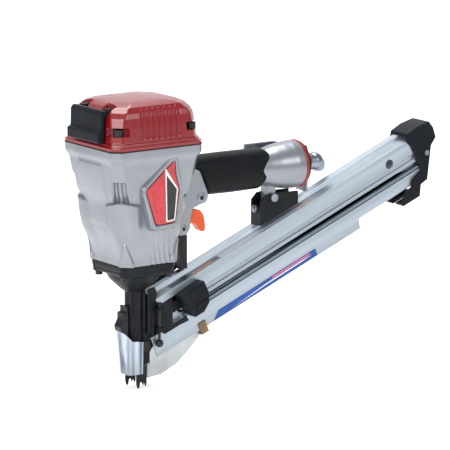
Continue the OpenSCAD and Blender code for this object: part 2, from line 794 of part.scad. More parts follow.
module contact_spring() {
    color("#8e949a") translate([spring_x, spring_y, 0]) coil(3.6, 0.55, spring_low + 0.2, spring_top - 0.2, 8, 5, 12);
}

// ---------- magazine ----------

outer_section = [[-mag_wid / 2, mag_top], [-mag_wid / 2, 63], [-mag_wid / 2 + 3.5, 60.5],
                 [-mag_wid / 2 + 3.5, 56.5], [-lower_y, 56], [-lower_y, 51.6], [-9, 51.2], [-9, 41.8],
                 [-lower_y, 41.4], [-lower_y, mag_low], [lower_y, mag_low], [lower_y, ridge_top - 3],
                 [lower_y - 1.5, ridge_top], [2, ridge_top], [0, mag_top]];
inner_section = [[-mag_wid / 2 + mag_wall, mag_top - mag_wall], [-mag_wid / 2 + mag_wall, 65],
                 [-9 + mag_wall, 62], [-9 + mag_wall, 40], [-lower_y + mag_wall, 38],
                 [-lower_y + mag_wall, mag_low + mag_wall], [-nail_gap / 2, mag_low + mag_wall],
                 [-nail_gap / 2, 0], [nail_gap / 2, 0], [nail_gap / 2, mag_low + mag_wall],
                 [lower_y - mag_wall, mag_low + mag_wall], [lower_y - mag_wall, ridge_top - 4],
                 [lower_y - 3, ridge_top - mag_wall], [3, ridge_top - mag_wall],
                 [2, mag_top - mag_wall]];
hole_s = mag_rear - 44;
hole_t = 68;

module magazine_body() {
    color("#c6d2dd") on_slope() difference() {
        run(outer_section, 34, mag_rear);
        run(inner_section, 30, mag_rear + 1);
        // The front end is cut back above the lower walls.
        block([30, -40, 41.2], [mag_front, 40, 100]);
        // Side window in front of the pusher knob.
        block([30, -40, 41.2], [knob_front + 3, -mag_wid / 2 + 6, 73]);
        // Slot for the pusher's arm.
        block([knob_front + 1, -12, slot_low], [knob_rear + pusher_travel + 8, -5, slot_high]);
        // The lower walls stop short of the rear end.
        slab([[mag_rear - 116, 0], [mag_rear - 110, 27], [mag_rear + 2, 27], [mag_rear + 2, 0]], -40, 40);
        translate([hole_s, 0, hole_t]) rotate([90, 0, 0]) cylinder(h = 60, r = 5.75);
        translate([hole_s, 0, hole_t - 1]) rotate([-90, 0, 0]) cylinder(h = 60, r = 9);
    }
}

module pusher_rail() {
    color("#7f9098") on_slope() rod_x(knob_front + 4, mag_rear - knob_front - 8, rail_r,
                                      y = -9 - rail_r - 0.05, z = rail_t);
}

// End cap's outline, measured from the magazine's rear end.
cap_outline = [[-13, 84], [-8, 91], [8, 92.5], [28, 90], [31, 80], [30, 67], [20, 61], [-1, 24],
               [-12, 23], [-19, 10], [-46, 10], [-51, 17], [-44, 19], [-37, 26], [-27, 27],
               [-21, 35], [-5, 39], [-7, 54], [-8, 73]];
cap_screw_s = mag_rear + 10;

module magazine_end_cap() {
    color("#22272d") on_slope() difference() {
        slab(about(cap_outline, mag_rear, 0), -cap_plate, cap_plate);
        block([mag_rear - 68, -mag_wid / 2 - gap, mag_low - gap], [mag_rear + gap, mag_wid / 2 + gap, ridge_top + gap]);
        // Slot for loading the strip of nails.
        block([mag_rear - 68, -nail_gap / 2 - 1.4, 0],
              [mag_rear + 52, nail_gap / 2 + 1.4, mag_top - mag_wall]);
        for (j = [-1, 1]) translate([cap_screw_s, 0, 56]) rotate([j * 90, 0, 0]) cylinder(h = 40, r = 2 + pin_fit);
    }
}

module end_cap_screws() {
    color("#a8adb2") on_slope() for (j = [-1, 1])
        translate([cap_screw_s, j * cap_plate, 56]) rotate([-j * 90, 0, 0]) socket_screw(2, 10, 3.2, 1.8);
}

carriage_low = 42.5;
carriage_high = 61;

module pusher_carriage() {
    color("#3a4046") on_slope() union() {
        block([knob_front + 4, -9 + mag_wall + gap, carriage_low], [knob_rear - 4, 9.5, carriage_high]);
        // Finger that pushes the strip of nails.
        block([knob_front - 8, -nail_gap / 2 + gap, carriage_low - 20],
              [knob_front + 14, nail_gap / 2 - gap, carriage_high + 14]);
        // Arm through the side slot.
        block([knob_front + 6, -mag_wid / 2 - 0.4, slot_low + gap], [knob_rear - 6, 0, slot_high - gap]);
    }
}

module pusher_knob() {
    color("#1b1f24") on_slope() slab([[knob_front, 74], [knob_rear - 1, 76], [knob_rear, 60],
        [knob_rear - 4, 48], [knob_rear - 15, 41], [knob_front + 9, 41], [knob_front + 5, 50]],
        -mag_wid / 2 - 15.5, -mag_wid / 2 - 0.4);
}

module pusher_spring() {
    color("#9aa0a6") on_slope() translate([knob_front + 22, 3, carriage_high + 8.2]) rotate([90, 0, 0])
        difference() {
            cylinder(h = 8, r = 7.9, center = true);
            cylinder(h = 10, r = 5.5, center = true);
        }
}

// ---------- guard and bracket ----------

module guard_plates() {
    color("#bcc6cc") for (side = [-1, 1]) mirror([0, side < 0 ? 1 : 0, 0])
        difference() {
            slab([[14.5, -6], [35, -4], [57, 6], [70, 17], [91, 37], [96, 60], [14.5, 40]], 5.4, 7);
            on_slope() block([-20, -40, mag_low], [200, 40, 120]);
            intersection() {
                on_slope() slab(nose_block_outline, -block_wid, block_wid);
                block([6, -40, 8.8], [90, 40, flange_z]);
            }
        }
}

module guard_clip() {
    color("#8f7f60") on_slope() union() {
        block([99, -lower_y - 1.6, 9], [110, -lower_y, 24]);
        block([99, -lower_y - 1.6, 9], [110, -7.1, mag_low]);
    }
}

bracket_x = grip_end - 12;
screw_z = handle_z - 49.5;

module magazine_bracket() {
    color("#1c2025") difference() {
        intersection() {
            union() {
                slab([[bracket_x, 168], [bracket_x, 190], [bracket_x + 8, 198], [bracket_x + 55, 198],
                      [bracket_x + 55, 168]], -11, -8.2);
                slab([[bracket_x, 168], [bracket_x, 190], [bracket_x + 8, 198], [bracket_x + 55, 198],
                      [bracket_x + 55, 168]], 8.2, 11);
                slab([[bracket_x, 160], [bracket_x, 182], [bracket_x + 55, 187.5], [bracket_x + 55, 168]], -11, 11);
            }
            on_slope() block([150, -20, ridge_top], [330, 20, 140]);
        }
        rod_y(lug_x, handle_z - 36, 60, 2.5 + pin_fit);
        rod_x(bracket_x - 1, 15, 2 + pin_fit, z = screw_z);
    }
}

// Clamp screw in the bracket's front face.
module bracket_screw() {
    color("#b4bac0") translate([bracket_x, 0, screw_z]) rotate([0, -90, 0]) union() {
        translate([0, 0, -13]) cylinder(h = 13, r = 2);
        intersection() {
            cylinder(h = 5, r = 4.6);
            translate([0, 0, -2]) sphere(r = 6.6);
        }
    }
}

module bracket_bolt() {
    color("#b4bac0") union() {
        rod_y(lug_x, handle_z - 36, 30, 2.5);
        rod_y(lug_x, handle_z - 36, 4, 5, y = -13);
    }
}

module bracket_nut() {
    color("#8f959b") difference() {
        translate([lug_x, 15, handle_z - 36]) rotate([90, 0, 0]) cylinder(h = 4, r = 5, $fn = 6);
        rod_y(lug_x, handle_z - 36, 60, 2.5 + 0.01);
    }
}

main_housing();
cap_gasket();
cylinder_cap();
cap_bolts();
exhaust_cover();
exhaust_filter();
cover_bolts();
side_badge_left();
side_badge_right();
head_valve();
head_valve_spring();
cylinder_sleeve();
sleeve_seal();
piston();
piston_ring();
driver_blade();
bumper();
nose();
nose_bolts();
grip_sleeve();
end_cap_gasket();
handle_end_cap();
end_cap_bolts();
fitting_nut();
swivel_elbow();
air_plug();
rafter_hook();
trigger();
trigger_pin();
valve_body();
valve_stem();
valve_spring();
contact_link();
contact_foot();
contact_tip();
contact_front_guide();
contact_spring();
spring_guide_pin();
depth_dial();
dial_pin();
magazine_body();
pusher_rail();
magazine_end_cap();
end_cap_screws();
pusher_carriage();
pusher_knob();
pusher_spring();
guard_plates();
guard_clip();
latch_pin();
magazine_bracket();
bracket_screw();
bracket_bolt();
bracket_nut();
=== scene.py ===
"""Looks of a pneumatic framing nailer, built as pieces around its CAD frame.

It is laid out as an add-on: sizes and colours are properties, each group of pieces
has its operator, and main() runs them in order. Lengths in the tables are in
millimetres in the frame of the CAD model: the muzzle is the origin, +Z runs up the
drive axis, +X points to the rear and the badge side is -Y.
"""
import json
import math

import bmesh
import bpy
import numpy as np
from mathutils import Matrix, Vector


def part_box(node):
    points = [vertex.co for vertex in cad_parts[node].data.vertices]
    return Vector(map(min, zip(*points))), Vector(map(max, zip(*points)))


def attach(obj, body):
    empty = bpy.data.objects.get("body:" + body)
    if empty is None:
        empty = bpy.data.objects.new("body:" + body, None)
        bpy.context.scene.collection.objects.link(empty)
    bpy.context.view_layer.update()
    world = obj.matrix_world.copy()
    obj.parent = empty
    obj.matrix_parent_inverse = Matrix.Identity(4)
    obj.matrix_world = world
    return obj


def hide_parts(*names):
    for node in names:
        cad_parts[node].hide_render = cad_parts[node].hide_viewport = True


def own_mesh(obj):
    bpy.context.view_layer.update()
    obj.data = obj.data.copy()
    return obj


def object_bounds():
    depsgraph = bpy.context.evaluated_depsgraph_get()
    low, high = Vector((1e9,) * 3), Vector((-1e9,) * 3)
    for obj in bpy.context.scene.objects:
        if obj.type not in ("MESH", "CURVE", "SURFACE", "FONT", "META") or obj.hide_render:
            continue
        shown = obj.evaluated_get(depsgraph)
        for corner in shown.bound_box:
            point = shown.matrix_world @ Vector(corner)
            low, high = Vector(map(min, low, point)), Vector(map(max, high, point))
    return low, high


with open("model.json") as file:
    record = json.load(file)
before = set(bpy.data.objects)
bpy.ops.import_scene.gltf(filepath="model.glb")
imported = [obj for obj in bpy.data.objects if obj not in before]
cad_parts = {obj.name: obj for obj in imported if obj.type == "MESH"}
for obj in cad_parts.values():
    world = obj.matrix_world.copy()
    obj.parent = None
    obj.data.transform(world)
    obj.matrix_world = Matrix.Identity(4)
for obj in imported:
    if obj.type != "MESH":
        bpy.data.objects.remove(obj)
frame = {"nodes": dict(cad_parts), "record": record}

bl_info = {
    "name": "Framing nailer looks",
    "version": (1, 0, 0),
    "blender": (4, 5, 0),
    "location": "View3D > Sidebar > Nailer",
    "description": "Builds the visible pieces and finishes of a pneumatic framing nailer",
    "category": "Object",
}

MM = 0.001
RECORD = frame["record"]
BODY_OF = {n: b for b, nodes in RECORD["behaviour"]["bodies"].items() for n in nodes}
SLOT_OF = {p["node"]: p["material_slot"] for p in RECORD["subparts"]}
CAD_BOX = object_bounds()

# Sizes that the pieces share with the CAD model.
FOOT_Z, JOINT_Z, CAP_Z, CAP_H = 138.0, 278.0, 279.2, 53.8
FOOT_HALF, TOP_HALF = (38, 40), (64, 58)        # half lengths and widths of the body
HANDLE_Z = 229.5
TRIGGER_PIVOT, LOCK_CENTRE = (61, 170), (87, 205)
CHEEK_IN, CHEEK_OUT = 11, 15                     # |y| of the plates beside the trigger
SLEEVE_IN, SLEEVE_OUT = 13.7, 14.7               # |y| of the plates beside the nose
MAG_ANGLE, MAG_DROP = math.radians(22.5), -8.0
MAG_SIDE, MAG_TOP = -13.5, 82.0
FOOT_SKIN = 1.3
# The camera as fitted to the photograph: its direction and upright, and its place in m.
LOOK, UPRIGHT = (0.55898, 0.80695, -0.19072), (0.10734, 0.15765, 0.98164)
CAMERA_AT, FOCAL_MM = (-2.71478, -4.10843, 1.13587), 340.7
SIDES = ((-1, "left"), (1, "right"))


# ---------- finishes ----------

def linear(colour):
    """sRGB hex to linear: ((c + 0.055) / 1.055) to the 2.4, or c / 12.92 where dark."""
    parts = [int(colour[i:i + 2], 16) / 255 for i in (1, 3, 5)]
    return tuple(c / 12.92 if c <= 0.04045 else ((c + 0.055) / 1.055) ** 2.4
                 for c in parts) + (1.0,)


def add(tree, kind, values=None, links=None, **settings):
    """Adds one shader node with its settings, input values and links."""
    node = tree.nodes.new("ShaderNode" + kind)
    for key, value in settings.items():
        setattr(node, key, value)
    for key, value in (values or {}).items():
        node.inputs[key].default_value = value
    for key, source in (links or {}).items():
        tree.links.new(source, node.inputs[key])
    return node


def finish(name, tint, shade, rough, metallic=0.0, grain=1.0, relief=0.02, mottle_and_sheen=30.0,
           stretch=(1, 1, 1), turn=0.0, shader=None, lines=None):
    """One surface: a noise of `grain` mm gives relief and roughness, and a broader noise, its
    size in mm given after the relief, drifts the colour between tint and shade. On most finishes
    that drift is a random mottle; on the chrome, drawn out upright, it is painted reflection in
    streaks. `stretch` draws both out along an axis that is turned about Y, as brushing does, and
    `lines` = (pitch, share) adds die lines."""
    material = bpy.data.materials.new(name)
    material.use_nodes = True
    tree = material.node_tree
    tree.nodes.clear()
    place = add(tree, "TexCoord").outputs["Object"]
    if turn:
        place = add(tree, "Mapping", {"Rotation": (0, turn, 0)},
                    {"Vector": place}).outputs["Vector"]
    drawn = add(tree, "Mapping", {"Scale": stretch}, {"Vector": place}).outputs["Vector"]
    fine = add(tree, "TexNoise", {"Scale": 1 / (grain * MM), "Detail": 3.0,
                                  "Roughness": 0.6}, {"Vector": drawn}).outputs["Fac"]
    broad = add(tree, "TexNoise", {"Scale": 1 / (mottle_and_sheen * MM), "Detail": 4.0},
                {"Vector": drawn}).outputs["Fac"]
    spread = add(tree, "MapRange", {"From Min": 0.35, "From Max": 0.65},
                 {"Value": broad}).outputs["Result"]
    colour = add(tree, "MixRGB", {"Color1": linear(tint), "Color2": linear(shade)},
                 {"Fac": spread}).outputs["Color"]
    height = fine
    if lines:
        pitch, share = lines
        bands = add(tree, "TexWave", {"Scale": 0.314159 / (pitch * MM), "Distortion": 0.6,
                                      "Detail": 1.0, "Detail Scale": 0.2},
                    {"Vector": drawn}, wave_type="BANDS", bands_direction="Z")
        height = add(tree, "Math", {1: share}, {0: bands.outputs["Fac"]},
                     operation="MULTIPLY").outputs[0]
        height = add(tree, "Math", links={0: height, 1: fine}, operation="ADD").outputs[0]
    gloss = add(tree, "MapRange", {"From Min": 0.3, "From Max": 0.7, "To Min": rough[0],
                                   "To Max": rough[1]}, {"Value": fine}).outputs["Result"]
    bump = add(tree, "Bump", {"Distance": relief * MM, "Strength": 1.0},
               {"Height": height}).outputs["Normal"]
    values = {"Metallic": metallic}
    values.update(shader or {})
    surface = add(tree, "BsdfPrincipled", values,
                  {"Base Color": colour, "Roughness": gloss, "Normal": bump})
    add(tree, "OutputMaterial", links={"Surface": surface.outputs["BSDF"]})
    return material


def finishes():
    """The finish of each material slot of the record."""
    colour = bpy.context.scene.nailer_colours
    code = {k: "#" + "".join(f"{round(255 * c):02x}" for c in getattr(colour, k))
            for k in ("silver", "red", "grip", "trigger", "magazine")}
    along = (0.03, 1.0, 1.0)
    return {
        # Satin silver lacquer over a magnesium casting: soft sheen, faint sand texture.
        "silver_paint": finish("SatinSilverLacquer", code["silver"], "#85898f", (0.30, 0.38),
                               0.6, 0.9, 0.012, 60, shader={"Coat Weight": 0.2,
                                                             "Coat Roughness": 0.2}),
        # Gloss red enamel: clear, wet reflections with a little orange peel.
        "red_paint": finish("GlossRedEnamel", code["red"], "#7d0b18", (0.30, 0.34), 0.0, 5.0,
                            0.010, 60, shader={"Coat Weight": 0.45, "Coat Roughness": 0.14}),
        # Nitrile rubber gasket: dull and nearly black.
        "seal_rubber": finish("NitrileRubber", "#14161a", "#1d1f24", (0.6, 0.75), 0, 0.6, 0.02),
        # Black-oxide cap screws: dark, oily steel.
        "black_oxide_steel": finish("BlackOxideSteel", "#15181c", "#1f2328", (0.32, 0.42),
                                    0.3, 0.5, 0.008, 8),
        # Moulded glass-filled nylon: satin with a fine spark-eroded grain.
        "black_plastic": finish("MouldedNylon", "#161b22", "#11151b", (0.36, 0.46), 0, 0.7,
                                0.03, 25, shader={"Specular IOR Level": 0.12}),
        # Woven steel filter cloth.
        "filter_mesh": finish("WovenFilterCloth", "#6b7077", "#3b4046", (0.4, 0.6), 0.8, 0.5,
                              0.15, 2),
        # Printed gloss label under clear film.
        "badge_label": finish("GlossLabelFilm", "#c0121b", "#a30c14", (0.22, 0.3), 0, 1.5,
                              0.006, 22, shader={"Coat Weight": 0.8, "Coat Roughness": 0.08}),
        # Acetal valve parts: off-white, waxy.
        "valve_plastic": finish("Acetal", "#cfcfbf", "#c2c2b0", (0.4, 0.5), 0, 0.8, 0.01),
        # Drawn spring wire and ground steel.
        "spring_steel": finish("SpringWire", "#9ba1a8", "#7d838b", (0.2, 0.34), 1.0, 0.6,
                               0.006, 6),
        # Turned aluminium: bright with fine tool marks.
        "bare_aluminium": finish("TurnedAluminium", "#c4c7cb", "#adb1b6", (0.24, 0.36), 1.0,
                                 0.5, 0.008, 20, stretch=(1, 1, 0.15)),
        # Phosphated steel casting: black with a dry, sandy skin.
        "black_casting": finish("PhosphatedCasting", "#0f1216", "#181c21", (0.34, 0.46), 0.0,
                                1.1, 0.07, 18, shader={"Specular IOR Level": 0.16}),
        # Moulded grip rubber: soft satin with a leathery pebble.
        "grip_rubber": finish("GripRubber", code["grip"], "#0c0f13", (0.42, 0.56), 0, 1.3,
                              0.08, 40, shader={"Specular IOR Level": 0.13}),
        # Moulded red nylon ring.
        "red_plastic": finish("RedNylon", "#b01820", "#8f1018", (0.3, 0.4), 0, 0.8, 0.02, 20),
        # Bright zinc plate: bluish steel with a soft spangle.
        "zinc_steel": finish("ZincPlate", "#949ca6", "#7a828c", (0.28, 0.42), 0.9, 1.4, 0.012,
                             10),
        # Moulded orange acetal trigger.
        "orange_plastic": finish("OrangeAcetal", code["trigger"], "#d24716", (0.34, 0.46), 0,
                                 0.6, 0.02, 20),
        # Turned brass valve.
        "brass_valve": finish("TurnedBrass", "#c9a75c", "#b08e46", (0.25, 0.35), 1.0, 0.5,
                              0.006, 15),
        # Black phosphate on machined steel.
        "black_phosphate_steel": finish("BlackPhosphate", "#15181c", "#1f2327", (0.36, 0.46),
                                        0.2, 0.6, 0.015, 10, shader={"Specular IOR Level": 0.3}),
        # Polished chrome plate: a near mirror, with upright streaks of painted reflection, light
        # and dark, drawn into its colour.
        "chrome_steel": finish("ChromeWithPaintedReflections", "#b9c2ce", "#505a6a", (0.10, 0.16), 1.0, 1.6,
                               0.004, 7, stretch=(1, 1, 0.04)),
        # Brushed and clear-anodised extrusion: lines along its length.
        "anodised_aluminium": finish("BrushedAnodised", code["magazine"], "#9ba5af",
                                     (0.40, 0.50), 0.75, 1.2, 0.02, 14, stretch=along,
                                     turn=MAG_ANGLE, lines=(2.4, 0.35)),
        # Ground steel rail.
        "rail_steel": finish("GroundSteel", "#6f7d87", "#59656f", (0.25, 0.38), 0.9, 0.9,
                             0.012, 10, stretch=along, turn=MAG_ANGLE),
        # Bead-blasted stainless plate: warm, even satin.
        "satin_steel": finish("BeadBlastedSteel", "#c1c7c9", "#adb3b5", (0.34, 0.44), 0.7,
                              0.8, 0.02, 25),
        # Tarnished brass clip.
        "clip_brass": finish("TarnishedBrass", "#8a7354", "#6d5f4a", (0.34, 0.5), 0.9, 1.2,
                             0.02, 6),
    }


# ---------- surfaces ----------

def piece(name, points, faces, finish_of, body, slot, nodes=(), crease=35.0):
    """A mesh object at the origin from points in mm, shaded smooth up to `crease` degrees,
    that rides on a body and may stand for CAD nodes."""
    mesh = bpy.data.meshes.new(name)
    mesh.from_pydata((np.asarray(points, float) * MM).tolist(), [], faces)
    mesh.validate()
    obj = bpy.data.objects.new(name, mesh)
    bpy.context.scene.collection.objects.link(obj)
    tidy = bmesh.new()
    tidy.from_mesh(mesh)
    bmesh.ops.remove_doubles(tidy, verts=tidy.verts, dist=1e-6)
    bmesh.ops.recalc_face_normals(tidy, faces=tidy.faces)
    tidy.to_mesh(mesh)
    tidy.free()
    mesh.shade_smooth()
    mesh.set_sharp_from_angle(angle=math.radians(crease))
    mesh.materials.append(finish_of[slot] if isinstance(slot, str) else slot)
    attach(obj, body)
    if nodes:
        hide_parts(*nodes)
    return obj


def soften(obj, width, segments=2):
    """Rounds the edges sharper than 30 degrees with a bevel of `width` mm."""
    bevel = obj.modifiers.new("EdgeRadius", "BEVEL")
    bevel.width = width * MM
    bevel.segments = segments
    bevel.limit_method = "ANGLE"
    bevel.angle_limit = math.radians(30.0)
    bevel.use_clamp_overlap = False
    bevel.miter_outer = "MITER_ARC"
    obj.data.shade_smooth()
    normals = obj.modifiers.new("EvenShading", "WEIGHTED_NORMAL")
    normals.keep_sharp = True
    return obj


def quads(rows, ring):
    """Faces of a grid of rows by ring points, stitched round."""
    i, j = np.meshgrid(np.arange(rows - 1), np.arange(ring), indexing="ij")
    k = (j + 1) % ring
    return np.stack([i * ring + j, i * ring + k, (i + 1) * ring + k, (i + 1) * ring + j],
                    -1).reshape(-1, 4).tolist()


def tube(rings, ends=True):
    """Skin through closed rings [rows, ring, 3], with its two ends closed flat."""
    rows, ring = rings.shape[:2]
    faces = quads(rows, ring)
    if ends:
        faces += [list(range(ring))[::-1], list(range((rows - 1) * ring, rows * ring))]
    return rings.reshape(-1, 3), faces


def smooth_line(stations, step, blend):
    """Resamples a polyline at equal steps of its length, then averages it over `blend`, so
    each corner becomes a fillet of about that size. Its ends stay where they are."""
    stations = np.asarray(stations, float)
    along = np.concatenate([[0], np.cumsum(np.linalg.norm(np.diff(stations[:, :2], axis=0),
                                                          axis=1))])
    at = np.linspace(0, along[-1], max(3, int(along[-1] / step) + 1))
    line = np.stack([np.interp(at, along, stations[:, k])
                     for k in range(stations.shape[1])], 1)
    half = max(1, int(blend / (2 * (at[1] - at[0]))))
    half = min(half, len(line) - 1)
    padded = np.vstack([2 * line[0] - line[half:0:-1], line,
                        2 * line[-1] - line[-2:-half - 2:-1]])
    kernel = np.ones(2 * half + 1) / (2 * half + 1)
    return np.stack([np.convolve(padded[:, k], kernel, "valid")
                     for k in range(line.shape[1])], 1)


def eight_rings(half_x, half_y, cut, radius, per_side, per_corner):
    """Eight-sided outlines with rounded corners, one per row. Each of the eight corners is
    an arc of `radius` centred where both its sides are that far away, and the sides between
    arcs are straight. Returns points [rows, ring, 2] and outward normals."""
    a, b, c = half_x, half_y, cut
    corners = np.stack([np.stack(p, -1) for p in (
        (a, c - b), (a, b - c), (a - c, b), (c - a, b),
        (-a, b - c), (-a, c - b), (c - a, -b), (a - c, -b))], 1)
    start = np.radians(45.0) * (np.arange(8) - 1)
    share = np.linspace(0, 1, per_corner)
    angles = start[:, None] + np.radians(45.0) * share
    mid = start + np.radians(22.5)
    inner = corners - (radius / math.cos(math.radians(22.5))) * np.stack(
        [np.cos(mid), np.sin(mid)], -1)
    arcs_n = np.broadcast_to(np.stack([np.cos(angles), np.sin(angles)], -1),
                             (len(a), 8, per_corner, 2))
    arcs = inner[:, :, None, :] + radius * arcs_n
    step = np.linspace(0, 1, per_side + 2)[1:-1]
    ends, begins = arcs[:, :, -1], np.roll(arcs[:, :, 0], -1, axis=1)
    sides = ends[:, :, None] + (begins - ends)[:, :, None] * step[:, None]
    sides_n = np.broadcast_to(arcs_n[:, :, -1:], sides.shape)
    rows = len(a)
    points = np.concatenate([arcs, sides], 2).reshape(rows, -1, 2)
    normals = np.concatenate([arcs_n, sides_n], 2).reshape(rows, -1, 2)
    return points, normals


def ramp(value, low, high):
    """0 below low, 1 above high, and the smooth curve 3t^2 - 2t^3 between them."""
    t = np.clip((value - low) / (high - low), 0, 1)
    return t * t * (3 - 2 * t)


def window(value, low, high, edge):
    """1 between low and high with edges `edge` wide, 0 outside."""
    return ramp(value, low - edge, low) * (1 - ramp(value, high, high + edge))


def plate(outline, low, high, place):
    """Prism on a closed outline (u, v) from w = low to high; `place` maps (u, v, w)."""
    outline = np.asarray(outline, float)
    n = len(outline)
    points = np.vstack([np.column_stack([outline, np.full(n, w)]) for w in (low, high)])
    faces = [list(range(n))[::-1], list(range(n, 2 * n))]
    faces += [[i, (i + 1) % n, n + (i + 1) % n, n + i] for i in range(n)]
    return place(points), faces


def side_on(points):
    """(x, z, y) to object coordinates."""
    return points[:, [0, 2, 1]]


def beside(outline, side, near, far):
    """Prism on a side outline (x, z) between two distances from the middle plane."""
    return plate(outline, *sorted((side * near, side * far)), side_on)


def on_slope(points):
    """(s, t, y) of the magazine to object coordinates: turned up by its angle, lowered."""
    s, t, y = points.T
    c, k = math.cos(MAG_ANGLE), math.sin(MAG_ANGLE)
    return np.column_stack([s * c - t * k, y, MAG_DROP + s * k + t * c])


def lathe(profile, origin, axis, ring):
    """Surface of revolution: profile (distance along, radius) turned about an axis."""
    profile = np.asarray(profile, float)
    axis = Vector(axis).normalized()
    side = axis.orthogonal().normalized()
    other = axis.cross(side)
    t = np.linspace(0, 2 * np.pi, ring, endpoint=False)
    radius = np.repeat(profile[:, 1:2], ring, 1)
    return (np.array(origin) + profile[:, 0, None, None] * np.array(axis)
            + radius[..., None] * (np.cos(t)[:, None] * np.array(side)
                                   + np.sin(t)[:, None] * np.array(other)))


def superellipse(angle, power=2.5):
    """Points of |u| ^ power + |v| ^ power = 1 in the directions `angle`."""
    u, v = np.cos(angle), np.sin(angle)
    bulk = (np.abs(u) ** power + np.abs(v) ** power) ** (-1 / power)
    return bulk * u, bulk * v


def around(outline, n=None, step=None):
    """n points at equal steps round a closed outline, or as many as `step` mm allows."""
    closed = np.vstack([outline, outline[:1]]).astype(float)
    along = np.concatenate([[0], np.cumsum(np.linalg.norm(np.diff(closed, axis=0), axis=1))])
    at = np.linspace(0, along[-1], n or int(along[-1] / step), endpoint=False)
    return np.stack([np.interp(at, along, closed[:, k]) for k in range(2)], 1)


def smooth_loop(outline, step, blend):
    """Closed outline resampled at equal steps and averaged over `blend` all round."""
    line = around(outline, step=step)
    half = max(1, int(blend / (2 * step)))
    return sum(np.roll(line, k, axis=0) for k in range(-half, half + 1)) / (2 * half + 1)


def rim_ring(outer, inner, side):
    """Raised border of a badge: rings that run from the body up the outer outline, over a
    rounded land and down into the recess that holds the badge."""
    n, floor = 160, 51.0
    outer, inner = around(outer, n), around(inner, n)
    middle = outer.mean(0)
    shift = np.argmin(np.linalg.norm(inner - outer[0] * 0.86 - middle * 0.14, axis=1))
    inner = np.roll(inner, -shift, axis=0)
    spread = (outer - middle) * 0.10
    rings = []
    # Share of the way from the outer to the inner outline, negative outside, and |y|.
    for share, out in ((-1.0, 40.0), (-0.45, 53.0), (-0.12, 55.6), (0, 56.4), (0.2, 57.0),
                       (0.7, 57.0), (0.93, 56.6), (1.0, 55.8), (1.02, 54.6)):
        loop = outer - spread * share if share < 0 else outer + (inner - outer) * share
        rings.append(np.column_stack([loop[:, 0], np.full(n, side * out), loop[:, 1]]))
    rings.append(np.column_stack([rings[-1][:, 0], np.full(n, side * floor),
                                  rings[-1][:, 2]]))
    return tube(np.array(rings))


def refined(node, width, finish_of):
    """A copy of a CAD node with its loose triangles merged, its flat faces joined and its
    edges rounded by `width` mm, standing for the node."""
    source = frame["nodes"][node]
    mesh = bpy.data.meshes.new(node + "_finished")
    work = bmesh.new()
    work.from_mesh(source.data)
    bmesh.ops.remove_doubles(work, verts=work.verts, dist=2e-6)
    bmesh.ops.dissolve_degenerate(work, edges=work.edges, dist=1e-6)
    bmesh.ops.dissolve_limit(work, angle_limit=math.radians(1.0), verts=work.verts,
                             edges=work.edges)
    bmesh.ops.recalc_face_normals(work, faces=work.faces)
    work.to_mesh(mesh)
    work.free()
    if "custom_normal" in mesh.attributes:
        mesh.attributes.remove(mesh.attributes["custom_normal"])
    obj = bpy.data.objects.new(node + "_finished", mesh)
    bpy.context.scene.collection.objects.link(obj)
    mesh.shade_smooth()
    soften(obj, width)
    mesh.set_sharp_from_angle(angle=math.radians(75.0))
    mesh.materials.clear()
    mesh.materials.append(finish_of[SLOT_OF[node]])
    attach(obj, BODY_OF[node])
    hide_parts(node)
    return obj


STORE = {}


def store():
    """The finishes, made once and shared by all operators."""
    if not STORE:
        STORE.update(finishes())
    return STORE


# ---------- properties ----------

class NailerColours(bpy.types.PropertyGroup):
    silver: bpy.props.FloatVectorProperty(
        name="Silver lacquer", description="Colour of the cast body and handle end",
        default=(0.57, 0.59, 0.62), min=0, max=1, subtype="COLOR_GAMMA")
    red: bpy.props.FloatVectorProperty(
        name="Red enamel", description="Colour of the cylinder cap",
        default=(0.50, 0.05, 0.09), min=0, max=1, subtype="COLOR_GAMMA")
    grip: bpy.props.FloatVectorProperty(
        name="Grip rubber", description="Colour of the handle's rubber sleeve",
        default=(0.075, 0.085, 0.10), min=0, max=1, subtype="COLOR_GAMMA")
    trigger: bpy.props.FloatVectorProperty(
        name="Trigger", description="Colour of the trigger",
        default=(0.92, 0.36, 0.14), min=0, max=1, subtype="COLOR_GAMMA")
    magazine: bpy.props.FloatVectorProperty(
        name="Magazine", description="Colour of the anodised magazine",
        default=(0.70, 0.745, 0.79), min=0, max=1, subtype="COLOR_GAMMA")


class NailerSizes(bpy.types.PropertyGroup):
    fillet: bpy.props.FloatProperty(
        name="Casting fillet", description="Blend along the body casting's edges",
        default=7 * MM, min=1 * MM, max=15 * MM, unit="LENGTH", subtype="DISTANCE")
    flute: bpy.props.FloatProperty(
        name="Cap flute depth", description="Depth of the flutes in the cap's sides",
        default=1.9 * MM, min=0, max=3 * MM, unit="LENGTH", subtype="DISTANCE")
    niche: bpy.props.FloatProperty(
        name="Corner niche depth", description="Depth of the niches in the body's corners",
        default=6 * MM, min=0, max=9 * MM, unit="LENGTH", subtype="DISTANCE")
    palm: bpy.props.FloatProperty(
        name="Palm swell", description="How far the grip swells in its middle",
        default=0.9 * MM, min=0, max=2 * MM, unit="LENGTH", subtype="DISTANCE")


# ---------- operators ----------

